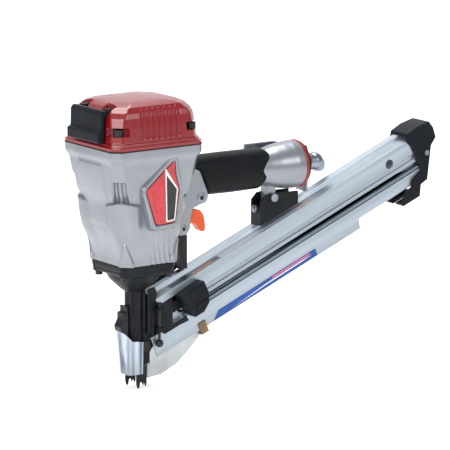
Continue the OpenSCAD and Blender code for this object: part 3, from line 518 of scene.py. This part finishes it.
class NAILER_OT_stage(bpy.types.Operator):
    """Lays the floor, hangs the soft lights and sets the camera"""
    bl_idname = "nailer.stage"
    bl_label = "Stage"

    def execute(self, context):
        scene = context.scene
        low = CAD_BOX[0][2]
        mesh = bpy.data.meshes.new("studio_floor")
        # A floor that curves up behind: flat, then a quarter circle, then straight up.
        bend = np.linspace(0, math.pi / 2, 24)
        across = np.concatenate([[-5.0], 2.4 + 1.5 * np.sin(bend), [3.9]])
        rise = np.concatenate([[0.0], 1.5 - 1.5 * np.cos(bend), [6.0]])
        turn = math.atan2(LOOK[1], LOOK[0])
        forward = np.array([math.cos(turn), math.sin(turn), 0])
        right = np.array([forward[1], -forward[0], 0])
        points = np.concatenate([across[:, None] * forward + side * right
                                 + np.array([0, 0, low]) + rise[:, None] * np.array([0, 0, 1])
                                 for side in (-6.0, 6.0)])
        n = len(across)
        mesh.from_pydata(points.tolist(), [], [[i, i + n, i + n + 1, i + 1]
                                               for i in range(n - 1)])
        mesh.shade_smooth()
        floor = bpy.data.objects.new("studio_floor", mesh)
        scene.collection.objects.link(floor)
        # Matt seamless paper.
        paper = bpy.data.materials.new("SeamlessPaper")
        paper.use_nodes = True
        shader = paper.node_tree.nodes["Principled BSDF"]
        shader.inputs["Base Color"].default_value = linear("#f4f4f4")
        shader.inputs["Roughness"].default_value = 0.9
        shader.inputs["Emission Color"].default_value = linear("#ffffff")
        shader.inputs["Emission Strength"].default_value = 0.42
        mesh.materials.append(paper)

        world = bpy.data.worlds.new("SoftStudio")
        world.use_nodes = True
        world.node_tree.nodes["Background"].inputs["Color"].default_value = linear("#f3f4f6")
        world.node_tree.nodes["Background"].inputs["Strength"].default_value = 0.30
        scene.world = world
        scene.view_settings.view_transform = "Standard"
        aim = Vector((0.12, 0.0, 0.16))
        # Name, place and size in metres, power in watts.
        for name, place, size, power in (
                ("key_softbox", (-1.7, -1.0, 1.3), 1.2, 34),
                ("top_softbox", (0.25, 0.5, 2.0), 1.3, 40),
                ("front_softbox", (0.9, -2.0, 1.2), 0.8, 13)):
            lamp = bpy.data.lights.new(name, "AREA")
            lamp.shape, lamp.size, lamp.energy = "SQUARE", size, power
            lamp.color = (1.0, 0.985, 0.97)
            holder = bpy.data.objects.new(name, lamp)
            scene.collection.objects.link(holder)
            holder.location = place
            holder.rotation_euler = (aim - Vector(place)).to_track_quat("-Z", "Y").to_euler()

        lens = bpy.data.cameras.new("camera")
        lens.sensor_width, lens.lens, lens.clip_end = 36.0, FOCAL_MM, 50.0
        camera = bpy.data.objects.new("camera", lens)
        scene.collection.objects.link(camera)
        back = -Vector(LOOK).normalized()
        up = Vector(UPRIGHT)
        side = up.cross(back).normalized()
        up = back.cross(side)
        turned = Matrix((side, up, back)).transposed().to_4x4()
        camera.matrix_world = Matrix.Translation(CAMERA_AT) @ turned
        scene.camera = camera
        return {"FINISHED"}


class NAILER_OT_body(bpy.types.Operator):
    """Casts the body: flared shell, badge rims, trigger cheeks, handle root and lug"""
    bl_idname = "nailer.body"
    bl_label = "Body casting"

    def execute(self, context):
        made, sizes = store(), context.scene.nailer_sizes
        height = JOINT_Z - FOOT_Z
        # Share of height, share of the flare from foot to top, corner cut.
        steps = np.array([[0, 0, 9], [.07, .01, 9], [.15, .06, 10], [.30, .32, 12],
                          [.41, .43, 13], [.54, .49, 13], [.64, .66, 12], [.81, .82, 11],
                          [.895, .87, 10], [.925, .985, 9], [.94, 1, 9], [1, 1, 9]])
        wide = [low + (high - low) * steps[:, 1] for low, high in zip(FOOT_HALF, TOP_HALF)]
        rows = np.column_stack([wide[0], FOOT_Z + height * steps[:, 0], wide[1],
                                steps[:, 2]])
        rows = smooth_line(rows, 0.9, sizes.fillet / MM)
        half_x, z, half_y, cut = rows.T
        ring, normal = eight_rings(half_x, half_y, cut, 5.0, 48, 8)
        x, y = ring[..., 0], ring[..., 1]
        up = z[:, None]
        # Distance from the middle of a cut corner, measured round the body.
        across = np.abs(np.abs(x) - np.abs(y) - (half_x - half_y)[:, None]) / math.sqrt(2)
        across = np.where((np.abs(x) > 8) & (np.abs(y) > 8), across, 60)
        front = ramp(-x, -5, 5)
        boss = 4.0 * (1 - ramp(across, 14, 22)) * (1 - ramp(up - 0.35 * (14 - across), 212, 216))
        boss = boss * ramp(up, 142, 190)
        depth = sizes.niche / MM
        niche = window(across, -1, 8.0, 2.2) * window(up, 217, 241, 1.4)
        pillar = 0.5 + 0.5 * np.cos(np.clip(across / 4.5, 0, 1) * math.pi)
        panel = 1.6 * window(np.abs(y), -1, 24, 2.0) * window(up, 190, 258, 8) * ramp(-x, 20, 30)
        # A rib that widens downwards from 2 to 9 mm at each corner's foot.
        spread = 2 + 7 * np.clip((168 - up) / 26, 0, 1)
        chevron = 2.8 * (1 - ramp(across, spread - 2.0, spread)) * window(up, 130, 163, 5)
        slant = (x + 0.18 * (up - FOOT_Z)) / 7.0
        flutes = 1.3 * (0.5 + 0.5 * np.cos(2 * math.pi * slant)) * window(x, 0, 27, 3)
        flutes = flutes * window(up, 132, 176, 9) * (np.abs(normal[..., 1]) > 0.9)
        push = front * boss - niche * (depth - 0.55 * depth * pillar) + panel + chevron - flutes
        shell = np.dstack([x + push * normal[..., 0], y + push * normal[..., 1],
                           np.broadcast_to(up, x.shape)])
        points, faces = tube(shell)
        piece("body_shell", points, faces, made, "root", "silver_paint", ["main_housing"], 40)

        rim = [(25, 131), (15, 129), (-24.5, 93.5), (-10, 45), (25.5, 46), (32, 91), (27.5, 109)]
        rim = smooth_loop(np.array(rim) + (0, FOOT_Z), 1.2, 13.0)
        inner = [(21.8, 127), (-20, 92.8), (-6, 49.3), (21.5, 50.8), (28, 90.6), (22.8, 108.5)]
        inner = smooth_loop(np.array(inner) + (0, FOOT_Z), 1.2, 8.0)
        for side, word in SIDES:
            points, faces = rim_ring(rim, inner, side)
            piece("badge_rim_" + word, points, faces, made, "root", "silver_paint", crease=50)

        cheek = [(-26, 74), (23, 72), (34, 44), (36, 37), (35, 31), (31, 28), (25, 27), (14, 23),
                 (11, 13), (10, -1), (5, -7.5), (-5, -8), (-12, 2), (-22, 30), (-27, 46)]
        cheek = smooth_loop(np.array(cheek) + TRIGGER_PIVOT, 1.0, 3.5)
        for side, word in SIDES:
            points, faces = beside(cheek, side, CHEEK_IN, CHEEK_OUT)
            soften(piece("trigger_cheek_" + word, points, faces, made, "root",
                         "silver_paint", crease=60), 1.3, 3)
        for name, (cx, cz, r, out) in {"hinge_boss": (*TRIGGER_PIVOT, 5.4, 1.2),
                                       "lock_boss": (*LOCK_CENTRE, 6.4, 0.9)}.items():
            for side, word in SIDES:
                dome = [(0, r), (out * 0.6, r - 0.2), (out, r - 1.0), (out, r * 0.45),
                        (out * 0.4, r * 0.4), (out * 0.4, 0.01)]
                points, faces = tube(lathe(dome, (cx, side * CHEEK_OUT, cz), (0, side, 0), 48))
                piece(f"{name}_{word}", points, faces, made, "root", "silver_paint")
                points, faces = tube(lathe([(0.2, r * 0.44), (0.5, r * 0.44), (0.5, 0.01)],
                                           (cx, side * CHEEK_OUT, cz), (0, side, 0), 32))
                piece(f"{name}_pin_{word}", points, faces, made, "root",
                      "black_oxide_steel")

        root = [(44, 200), (44, 250), (70, 250), (84, 236), (92, 216), (93, 205), (88, 200)]
        points, faces = plate(smooth_loop(root, 1.2, 5), -11.5, 11.5, side_on)
        soften(piece("handle_root", points, faces, made, "root", "silver_paint", crease=60),
               1.5, 3)
        points, faces = plate([(188.2, 190), (188.2, 212), (200, 212), (200, 194),
                               (197, 188.6), (191, 188.6)], -8, 8, side_on)
        soften(piece("bracket_lug", points, faces, made, "root", "silver_paint"), 1.2, 3)
        return {"FINISHED"}


class NAILER_OT_badges(bpy.types.Operator):
    """Lays the badges in their rims: red plate with a painted highlight on it, white outline and
    black panel
    """
    bl_idname = "nailer.badges"
    bl_label = "Badges"

    def execute(self, context):
        made = store()
        white = finish("WhiteLabelInk", "#e6e6ea", "#d8d9de", (0.25, 0.32), 0, 1.5, 0.006, 20)
        black = finish("BlackLabelInk", "#16181c", "#1d2025", (0.22, 0.3), 0, 1.5, 0.006, 20)
        painted_gleam = finish("PaintedGleamOnBadge", "#b52733", "#c23843", (0.22, 0.3), 0, 1.5, 0.006, 16)
        # Name, outline (x, height above the foot), |y| from and to, slot or ink (the gleam's is
        # a painted highlight), blend.
        layers = (
            ("badge", [(21, 125), (-19, 92.5), (-5, 50), (21, 51.5), (27, 90.5), (22, 108)],
             54.4, 56.5, "badge_label", 8.0),
            # Painted highlight: a lighter rose patch on the red badge.
            ("badge_gleam", [(5.5, 108), (-12.5, 92), (-3.5, 60), (-1, 57), (5.5, 57)],
             56.4, 56.62, painted_gleam, 7.0),
            ("badge_outline", [(7.4, 117), (25.2, 91), (21.0, 54), (8.6, 52.5)],
             56.4, 56.7, white, 3.6),
            ("badge_panel", [(9.2, 108), (23.3, 90.6), (19.6, 55.4), (10.2, 54.4)],
             56.6, 56.85, black, 2.8))
        for side, word in SIDES:
            for name, outline, low, high, slot, blend in layers:
                loop = smooth_loop(np.array(outline) + (0, FOOT_Z), 0.8, blend)
                points, faces = beside(loop, side, low, high)
                nodes = ["side_badge_" + word] if name == "badge" else ()
                made_piece = piece(f"{name}_{word}", points, faces, made, "root", slot,
                                   nodes, 50)
                if name == "badge":
                    soften(made_piece, 0.5, 2)
        return {"FINISHED"}


class NAILER_OT_cap(bpy.types.Operator):
    """Casts the cap: stepped rim, fluted sides, bolt notches and domed top"""
    bl_idname = "nailer.cap"
    bl_label = "Cylinder cap"

    def execute(self, context):
        made, sizes = store(), context.scene.nailer_sizes
        # Inset, height above the gasket, corner cut.
        steps = [(0.6, 0, 9), (0.1, 1, 9), (0.1, 4.2, 9), (2.2, 5.4, 9), (2.5, 7.4, 9),
                 (4.2, 8.6, 9.5), (4.4, 13, 10), (5.2, 26, 11), (6.4, 37, 12), (8.6, 43, 13),
                 (13.5, 48.6, 14), (19.5, 51.6, 15), (26, 53.0, 15), (34, 53.8, 14)]
        line = smooth_line(steps, 0.55, 2.0)
        inset, rise, cut = line.T
        z = CAP_Z + rise
        ring, normal = eight_rings(TOP_HALF[0] - inset, TOP_HALF[1] - inset, cut, 5.0, 110, 9)
        x, y = ring[..., 0], ring[..., 1]
        up = np.broadcast_to(z[:, None], x.shape)
        near_corner = (np.abs(x) > 20) & (np.abs(y) > 20)
        across = np.abs(np.abs(x) - np.abs(y) - (TOP_HALF[0] - TOP_HALF[1])) / math.sqrt(2)
        across = np.where(near_corner, across, 60)
        # Round-bottomed notch over each cap bolt.
        reach = 12.5 * np.sqrt(np.clip(1 - (across / 13.5) ** 2, 0, 1))
        notch = np.where(up < 310, reach, 0) * window(up, 296.6, 305.2, 0.6)
        # Flutes 8 mm apart on both long sides, deepest in their middle.
        phase = 0.5 + 0.5 * np.cos(2 * math.pi * (x + 20) / 8.0)
        flute = sizes.flute / MM * phase ** 0.8 * window(x, -23.5, 31.5, 1.5)
        flute = flute * window(up, 294, 323, 5) * (np.abs(normal[..., 1]) > 0.9)
        push = -notch - flute
        shell = np.dstack([x + push * normal[..., 0], y + push * normal[..., 1], up])
        # Pockets over the exhaust cover's bolts, either side of a tongue.
        px, py = shell[..., 0], np.abs(shell[..., 1])
        pocket = window(py, 15.5, 32.5, 0.9) * ramp(-px, 44.0, 45.2) * (shell[..., 2] > 318)
        shell[..., 2] -= pocket * (shell[..., 2] - 320.0)
        top = shell[-1]
        middle = np.array([0, 0, CAP_Z + CAP_H])
        share = np.linspace(0.97, 0.02, 16)[:, None, None]
        crown = middle + (top - middle) * share
        crown[..., 2] = CAP_Z + CAP_H + 0.9 * (1 - share[..., 0] ** 2)
        points, faces = tube(np.concatenate([shell, crown]))
        piece("cap_casting", points, faces, made, "root", "red_paint", ["cylinder_cap"], 50)
        return {"FINISHED"}


class NAILER_OT_handle(bpy.types.Operator):
    """Shapes the rubber grip and the flared handle end"""
    bl_idname = "nailer.handle"
    bl_label = "Handle"

    def execute(self, context):
        made, sizes = store(), context.scene.nailer_sizes
        t = np.linspace(0, 2 * np.pi, 96, endpoint=False)
        u = np.linspace(0, 1, 130)
        # The ends roll in: the section shrinks over the last 3 mm at each end.
        roll = np.minimum(1, np.sqrt(np.clip(np.minimum(u, 1 - u) / 0.028, 0, 1)) * 0.1 + 0.9)
        swell = sizes.palm / MM * np.sin(np.pi * u) ** 2
        # Section: |y / half width| ^ 2.5 + |z / radius| ^ 2.5 = 1.
        across, upward = superellipse(t)
        y = (19.2 + swell)[:, None] * roll[:, None] * across
        z = (24.2 + 0.5 * swell)[:, None] * roll[:, None] * upward
        rise = z / 24.5
        # In front the sleeve starts at the body above, and behind the trigger cheeks below.
        level = HANDLE_Z + z
        first = 58 + 26 * ramp(-level, -246, -240) + 13 * np.clip((242 - level) / 31, 0, 1)
        last = 187.5 - 13.5 * np.clip((0.45 - rise) / 1.45, 0, 1) ** 1.2 - 4 * np.clip(
            (rise - 0.45) / 0.55, 0, 1) ** 2
        x = first + u[:, None] * (last - first)
        points, faces = tube(np.dstack([x, y, HANDLE_Z + z]))
        piece("rubber_grip", points, faces, made, BODY_OF["grip_sleeve"], "grip_rubber",
              ["grip_sleeve"], 60)

        profile = smooth_line([(160, 17.5), (176, 19.5), (186, 22.6), (198, 25.6), (210, 27.6),
                               (219, 28.6), (221, 29.0), (231.2, 29.0), (232, 28.4)], 0.7, 4)
        flare = lathe(profile, (0, 0, HANDLE_Z), (1, 0, 0), 96)
        points, faces = tube(flare)
        piece("handle_flare", points, faces, made, "root", "silver_paint", crease=40)
        ring = smooth_line([(232.05, 26), (232.05, 28.9), (232.4, 29.3), (234.6, 29.3),
                            (234.95, 28.9), (234.95, 26)], 0.15, 0.5)
        points, faces = tube(lathe(ring, (0, 0, HANDLE_Z), (1, 0, 0), 96))
        piece("handle_ring", points, faces, made, BODY_OF["end_cap_gasket"], "red_plastic",
              ["end_cap_gasket"])
        return {"FINISHED"}


# Bevel width in mm of each finished copy of a CAD node.
EDGES = {
    "cap_gasket": 0.2, "cap_bolts": 0.5, "exhaust_cover": 0.9, "cover_bolts": 0.4, "nose": 0.9,
    "nose_bolts": 0.4, "handle_end_cap": 0.8, "end_cap_bolts": 0.4, "fitting_nut": 0.6,
    "swivel_elbow": 0.6, "air_plug": 0.25, "rafter_hook": 0.7, "trigger_pin": 0.4,
    "contact_link": 0.5, "contact_front_guide": 0.5, "depth_dial": 0.4, "dial_pin": 0.3,
    "magazine_body": 0.45, "pusher_rail": 0.2, "magazine_end_cap": 0.9, "end_cap_screws": 0.3,
    "pusher_carriage": 0.4, "pusher_knob": 1.1, "guard_plates": 0.5, "guard_clip": 0.4,
    "latch_pin": 0.5, "magazine_bracket": 0.9, "bracket_screw": 0.4, "bracket_bolt": 0.5,
    "bracket_nut": 0.4,
}


class NAILER_OT_edges(bpy.types.Operator):
    """Gives the machined, cast and moulded CAD pieces real edge radii"""
    bl_idname = "nailer.edges"
    bl_label = "Edge radii"

    def execute(self, context):
        made = store()
        for node, width in EDGES.items():
            refined(node, width, made)
        return {"FINISHED"}


class NAILER_OT_muzzle(bpy.types.Operator):
    """Shapes the nose's skirt and cheeks, the chrome foot, its toothed tip and the trigger"""
    bl_idname = "nailer.muzzle"
    bl_label = "Nose and foot"

    def execute(self, context):
        made = store()
        # Skirt of the flange. Half length, height, half width, corner cut.
        rows = smooth_line([(30, 122.5, 31, 11), (36.5, 125.5, 38.5, 9), (37.6, 127, 39.6, 9),
                            (37.6, 137.9, 39.6, 9)], 0.5, 2.0)
        ring = eight_rings(rows[:, 0], rows[:, 2], rows[:, 3], 5.0, 6, 6)[0]
        up = np.broadcast_to(rows[:, 1:2], ring.shape[:2])
        points, faces = tube(np.dstack([ring, up]))
        piece("nose_skirt", points, faces, made, "root", "black_casting", crease=40)

        # Cheeks over the front of the magazine, and the plate that travels with the knob.
        cheek = [(10, 103), (20, 105), (24, 96), (21, 87), (25.6, 82.5), (46, 88.6), (46, 56.5),
                 (65.5, 64.2), (69.5, 58.5), (56, 54.5), (46, 50.5), (35, 46), (30, 48.6),
                 (10, 48.6)]
        cheek = smooth_loop(cheek, 0.6, 1.6)
        for side, word in SIDES:
            points, faces = beside(cheek, side, SLEEVE_IN, SLEEVE_OUT)
            soften(piece("nose_cheek_" + word, points, faces, made, "root",
                         "black_casting"), 0.3)
        skirt = [(46.6, 83.5), (52.5, 86.0), (60, 75.6), (46.6, 70.2)]
        points, faces = beside(smooth_loop(skirt, 0.6, 1.6), -1, SLEEVE_IN, SLEEVE_OUT)
        piece("pusher_skirt", points, faces, made, BODY_OF["pusher_knob"], "black_plastic")
        guard = [(14.6, 27.5), (14.6, 10.5), (24, 10), (36, 20), (36, 32), (28, 36), (20, 33)]
        guard = smooth_loop(guard, 0.6, 1.5)
        for side, word in SIDES:
            points, faces = beside(guard, side, 11.4, 12.2)
            piece("guard_cheek_" + word, points, faces, made, "root", "satin_steel")
        # Upright ribs of the nose: place, radius, lower and upper end.
        for k, (x, y, r, low, high) in enumerate((
                (7.5, -10.5, 2.2, 58, 102), (13.5, -13.2, 2.4, 58, 90),
                (17.5, -14.0, 1.8, 46, 72), (-9.5, -9.0, 2.0, 72, 102))):
            rod = smooth_line([(low, 0.01), (low, r), (high, r), (high + r, 0.01)], 0.4, 0.9)
            points, faces = tube(lathe(rod, (x, y, 0), (0, 0, 1), 24))
            piece(f"nose_rib_{k + 1}", points, faces, made, "root", "black_casting")

        # Foot: a skin whose plan is a half superellipse in front of straight flanks. It
        # tapers down, and its top edge falls towards the open rear.
        flank, arc = 29, 73
        front, corner, rear, heel_x, half_y, tall = -22.0, -9.0, 4.6, 15.0, 14.0, 54.0
        lean, taper_y, lowest = 7.0, 1.4, 1.0
        share = np.linspace(0, 1, 70)[:, None]
        ahead, aside = superellipse(np.linspace(-math.pi / 2, math.pi / 2, arc))
        run, flat = np.linspace(1, 0, flank + 1)[:-1], np.zeros(flank)
        length = np.concatenate([run, np.zeros(arc), run[::-1]])
        bow = np.concatenate([flat, ahead, flat])
        wide = np.concatenate([flat - 1, aside, flat + 1])

        def plan(inset):
            x = corner + (heel_x - corner) * length - (corner - front) * bow
            top = np.interp(x, [front, -11, heel_x], [tall, 42, 40])
            z = lowest + share * (top - lowest)
            taper = 1 - z / tall
            x = np.where(length > 0, corner + length * (rear - corner),
                         x + lean * taper * bow) + inset * bow
            return np.dstack([x, (half_y - taper_y * taper - inset) * wide, z])

        outer, inner = plan(0.0), plan(FOOT_SKIN)
        rings = np.concatenate([outer, inner[:, ::-1]], axis=1)
        points, faces = tube(rings, ends=False)
        n, half = rings.shape[1], outer.shape[1]
        for row in (0, len(rings) - 1):
            base = row * n
            faces += [[base + i, base + i + 1, base + n - 2 - i, base + n - 1 - i]
                      for i in range(half - 1)]
        piece("foot_shell", points, faces, made, BODY_OF["contact_foot"], "chrome_steel",
              ["contact_foot"], 40)

        # Toothed tip, and the black heel behind the foot.
        side_teeth = [(-4.5, 24), (-4.5, -9), (-3.4, -14.6), (-2, -16.3), (-0.4, -15), (1, -9),
                      (3, -8.6), (5, -13.2), (6.6, -9.4), (8.4, -14.5), (10, -11), (10.6, 10),
                      (3.4, 10.5), (3.4, 24)]
        heel = smooth_loop([(4.4, 27), (15, 27), (15, 40), (4.4, 40.6)], 0.6, 1.2)
        for side, word in SIDES:
            points, faces = beside(side_teeth, side, 11.15, 12.5)
            soften(piece("tip_side_" + word, points, faces, made, BODY_OF["contact_tip"],
                         "black_phosphate_steel", ["contact_tip"] if side < 0 else ()), 0.3)
            points, faces = beside(heel, side, 12.4, 13.5)
            soften(piece("foot_heel_" + word, points, faces, made, BODY_OF["contact_tip"],
                         "black_phosphate_steel"), 0.3)

        # Trigger: a finger piece on two arms, with room for the contact link between them.
        finger = [(77, 174.4), (84, 172.6), (88.5, 168.5), (92, 163), (95.5, 161.2), (98, 164),
                  (98, 171), (96, 182), (91, 188.6), (82, 190.4), (77, 188)]
        arm = [(55, 166), (61, 163), (70, 168), (80, 175), (80, 188.6), (70, 182), (58, 177)]
        for name, outline, low, high in (("trigger_finger", finger, -6.6, 6.6),
                                         ("trigger_arm_left", arm, -6.4, -4.9),
                                         ("trigger_arm_right", arm, 4.9, 6.4)):
            points, faces = plate(smooth_loop(outline, 1.6, 3.2), low, high, side_on)
            soften(piece(name, points, faces, made, BODY_OF["trigger"], "orange_plastic",
                         ["trigger"] if outline is finger else (), 60), 0.6, 2)
        pads = {"knob_pad_upper": [(95, 73), (115.5, 73.5), (118.5, 62.5), (95, 62.5)],
                "knob_pad_lower": [(97, 54), (116, 54), (112, 46.5), (103, 43), (97, 43.5)]}
        for name, outline in pads.items():
            points, faces = plate(smooth_loop(outline, 0.6, 2.0), -30.9, -29.5, on_slope)
            soften(piece(name, points, faces, made, BODY_OF["pusher_knob"], "black_plastic"),
                   0.4)
        return {"FINISHED"}


class NAILER_OT_springs(bpy.types.Operator):
    """Winds the springs as coils of wire that ride on their pieces"""
    bl_idname = "nailer.springs"
    bl_label = "Springs"

    def execute(self, context):
        made = store()
        # Node, its joint, turns, wire radius.
        for node, joint, turns, wire in (
                ("head_valve_spring", "head_valve_slide", 5, 1.1),
                ("valve_spring", "valve_slide", 6, 0.3),
                ("contact_spring", "contact_arm_slide", 7, 0.7)):
            low, high = (np.array(v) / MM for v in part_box(node))
            radius = (high[0] - low[0]) / 2 - wire
            centre = (low + high) / 2
            t = np.linspace(0, 1, turns * 24 + 1)
            k = np.linspace(0, 2 * np.pi, 10, endpoint=False)
            # Centre line: a helix whose rise slows at its closed ends.
            rise = low[2] + wire + (high[2] - low[2] - 2 * wire) * (t - 0.06 * np.sin(
                2 * np.pi * t))
            angle = 2 * np.pi * turns * t
            reach = radius + wire * np.cos(k)[None, :]
            rings = np.dstack([centre[0] + reach * np.cos(angle)[:, None],
                               centre[1] + reach * np.sin(angle)[:, None],
                               rise[:, None] + wire * np.sin(k)[None, :]])
            points, faces = tube(rings)
            coil = piece(node + "_wound", points, faces, made, BODY_OF[node], SLOT_OF[node],
                         [node])
            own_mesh(coil)
        return {"FINISHED"}


class NAILER_OT_decals(bpy.types.Operator):
    """Sticks the plain coloured labels on the magazine"""
    bl_idname = "nailer.decals"
    bl_label = "Magazine labels"

    def execute(self, context):
        made = store()
        blue = finish("BlueLabelInk", "#00489a", "#003f8c", (0.25, 0.34), 0, 1.5, 0.006, 30)
        rose = finish("RoseStripeInk", "#d86a84", "#c9566f", (0.25, 0.34), 0, 1.5, 0.006, 12)
        snow = finish("WhiteStripeInk", "#e9ecf0", "#dde1e6", (0.25, 0.34), 0, 1.5, 0.006, 12)
        slate = finish("SlateLabelInk", "#4b535f", "#5a6472", (0.28, 0.36), 0, 1.5, 0.006, 30)
        lilac = finish("LilacLabelInk", "#a9afc4", "#b7bdcf", (0.28, 0.36), 0, 1.5, 0.006, 40)
        amber = finish("AmberLabelInk", "#d9813a", "#e09150", (0.25, 0.34), 0, 1.5, 0.006, 12)
        # Name, outline (s, t) on the magazine's side, thickness, ink.
        labels = (
            ("side_label", [(121, 16.0), (132, 25.2), (286, 25.2), (286, 16.0)], 0.18, blue),
            ("side_label_stripe", [(215, 22.0), (218, 24.0), (277, 24.0), (277, 22.2)], 0.26,
             rose),
            ("side_label_swoosh", [(150, 17.4), (205, 20.8), (262, 21.2), (280, 20.6),
                                   (262, 19.8), (205, 19.4)], 0.26, snow))
        sunk = 0.05
        for name, outline, thick, ink in labels:
            points, faces = plate(smooth_loop(outline, 1.0, 1.2),
                                  MAG_SIDE - thick, MAG_SIDE + sunk, on_slope)
            piece(name, points, faces, made, "root", ink, crease=50)
        # Name, s from and to, y from and to, thickness, ink.
        tops = (("top_label_front", 84, 160, -12.6, -2.6, 0.12, slate),
                ("top_label_rear", 160, 309, -12.6, -2.6, 0.12, lilac),
                ("top_label_bar_front", 117, 149, -9.6, -7.0, 0.2, amber),
                ("top_label_bar_rear", 281, 306, -9.6, -7.0, 0.2, amber))
        for name, s0, s1, y0, y1, thick, ink in tops:
            low, high = MAG_TOP - sunk, MAG_TOP + thick
            points, faces = plate([(s0, low), (s1, low), (s1, high), (s0, high)], y0, y1,
                                  on_slope)
            piece(name, points, faces, made, "root", ink, crease=50)
        return {"FINISHED"}


class NAILER_OT_finishes(bpy.types.Operator):
    """Paints the CAD nodes that show as they are"""
    bl_idname = "nailer.finishes"
    bl_label = "Finishes"

    def execute(self, context):
        made = store()
        for node, obj in frame["nodes"].items():
            if not obj.material_slots:
                obj.data.materials.append(made[SLOT_OF[node]])
            for slot in obj.material_slots:
                slot.material = made[SLOT_OF[node]]
        return {"FINISHED"}


# ---------- add-on ----------

STEPS = (NAILER_OT_stage, NAILER_OT_finishes, NAILER_OT_body, NAILER_OT_badges, NAILER_OT_cap,
         NAILER_OT_handle, NAILER_OT_muzzle, NAILER_OT_edges, NAILER_OT_springs,
         NAILER_OT_decals)


class NAILER_PT_panel(bpy.types.Panel):
    """Sizes and colours of the nailer, and the steps that build it"""
    bl_idname = "NAILER_PT_panel"
    bl_label = "Framing nailer"
    bl_space_type = "VIEW_3D"
    bl_region_type = "UI"
    bl_category = "Nailer"

    def draw(self, context):
        for group in (context.scene.nailer_colours, context.scene.nailer_sizes):
            box = self.layout.box()
            for name in type(group).__annotations__:
                box.prop(group, name)
        for step in STEPS:
            self.layout.operator(step.bl_idname)


CLASSES = (NailerColours, NailerSizes) + STEPS + (NAILER_PT_panel,)


def register():
    for kind in CLASSES:
        bpy.utils.register_class(kind)
    bpy.types.Scene.nailer_colours = bpy.props.PointerProperty(type=NailerColours)
    bpy.types.Scene.nailer_sizes = bpy.props.PointerProperty(type=NailerSizes)


def unregister():
    del bpy.types.Scene.nailer_colours
    del bpy.types.Scene.nailer_sizes
    for kind in reversed(CLASSES):
        bpy.utils.unregister_class(kind)


def main():
    register()
    for step in STEPS:
        name = step.bl_idname.split(".")[1]
        if getattr(bpy.ops.nailer, name)() != {"FINISHED"}:
            raise RuntimeError(f"{step.bl_label} did not finish")


if __name__ == "__main__":
    main()
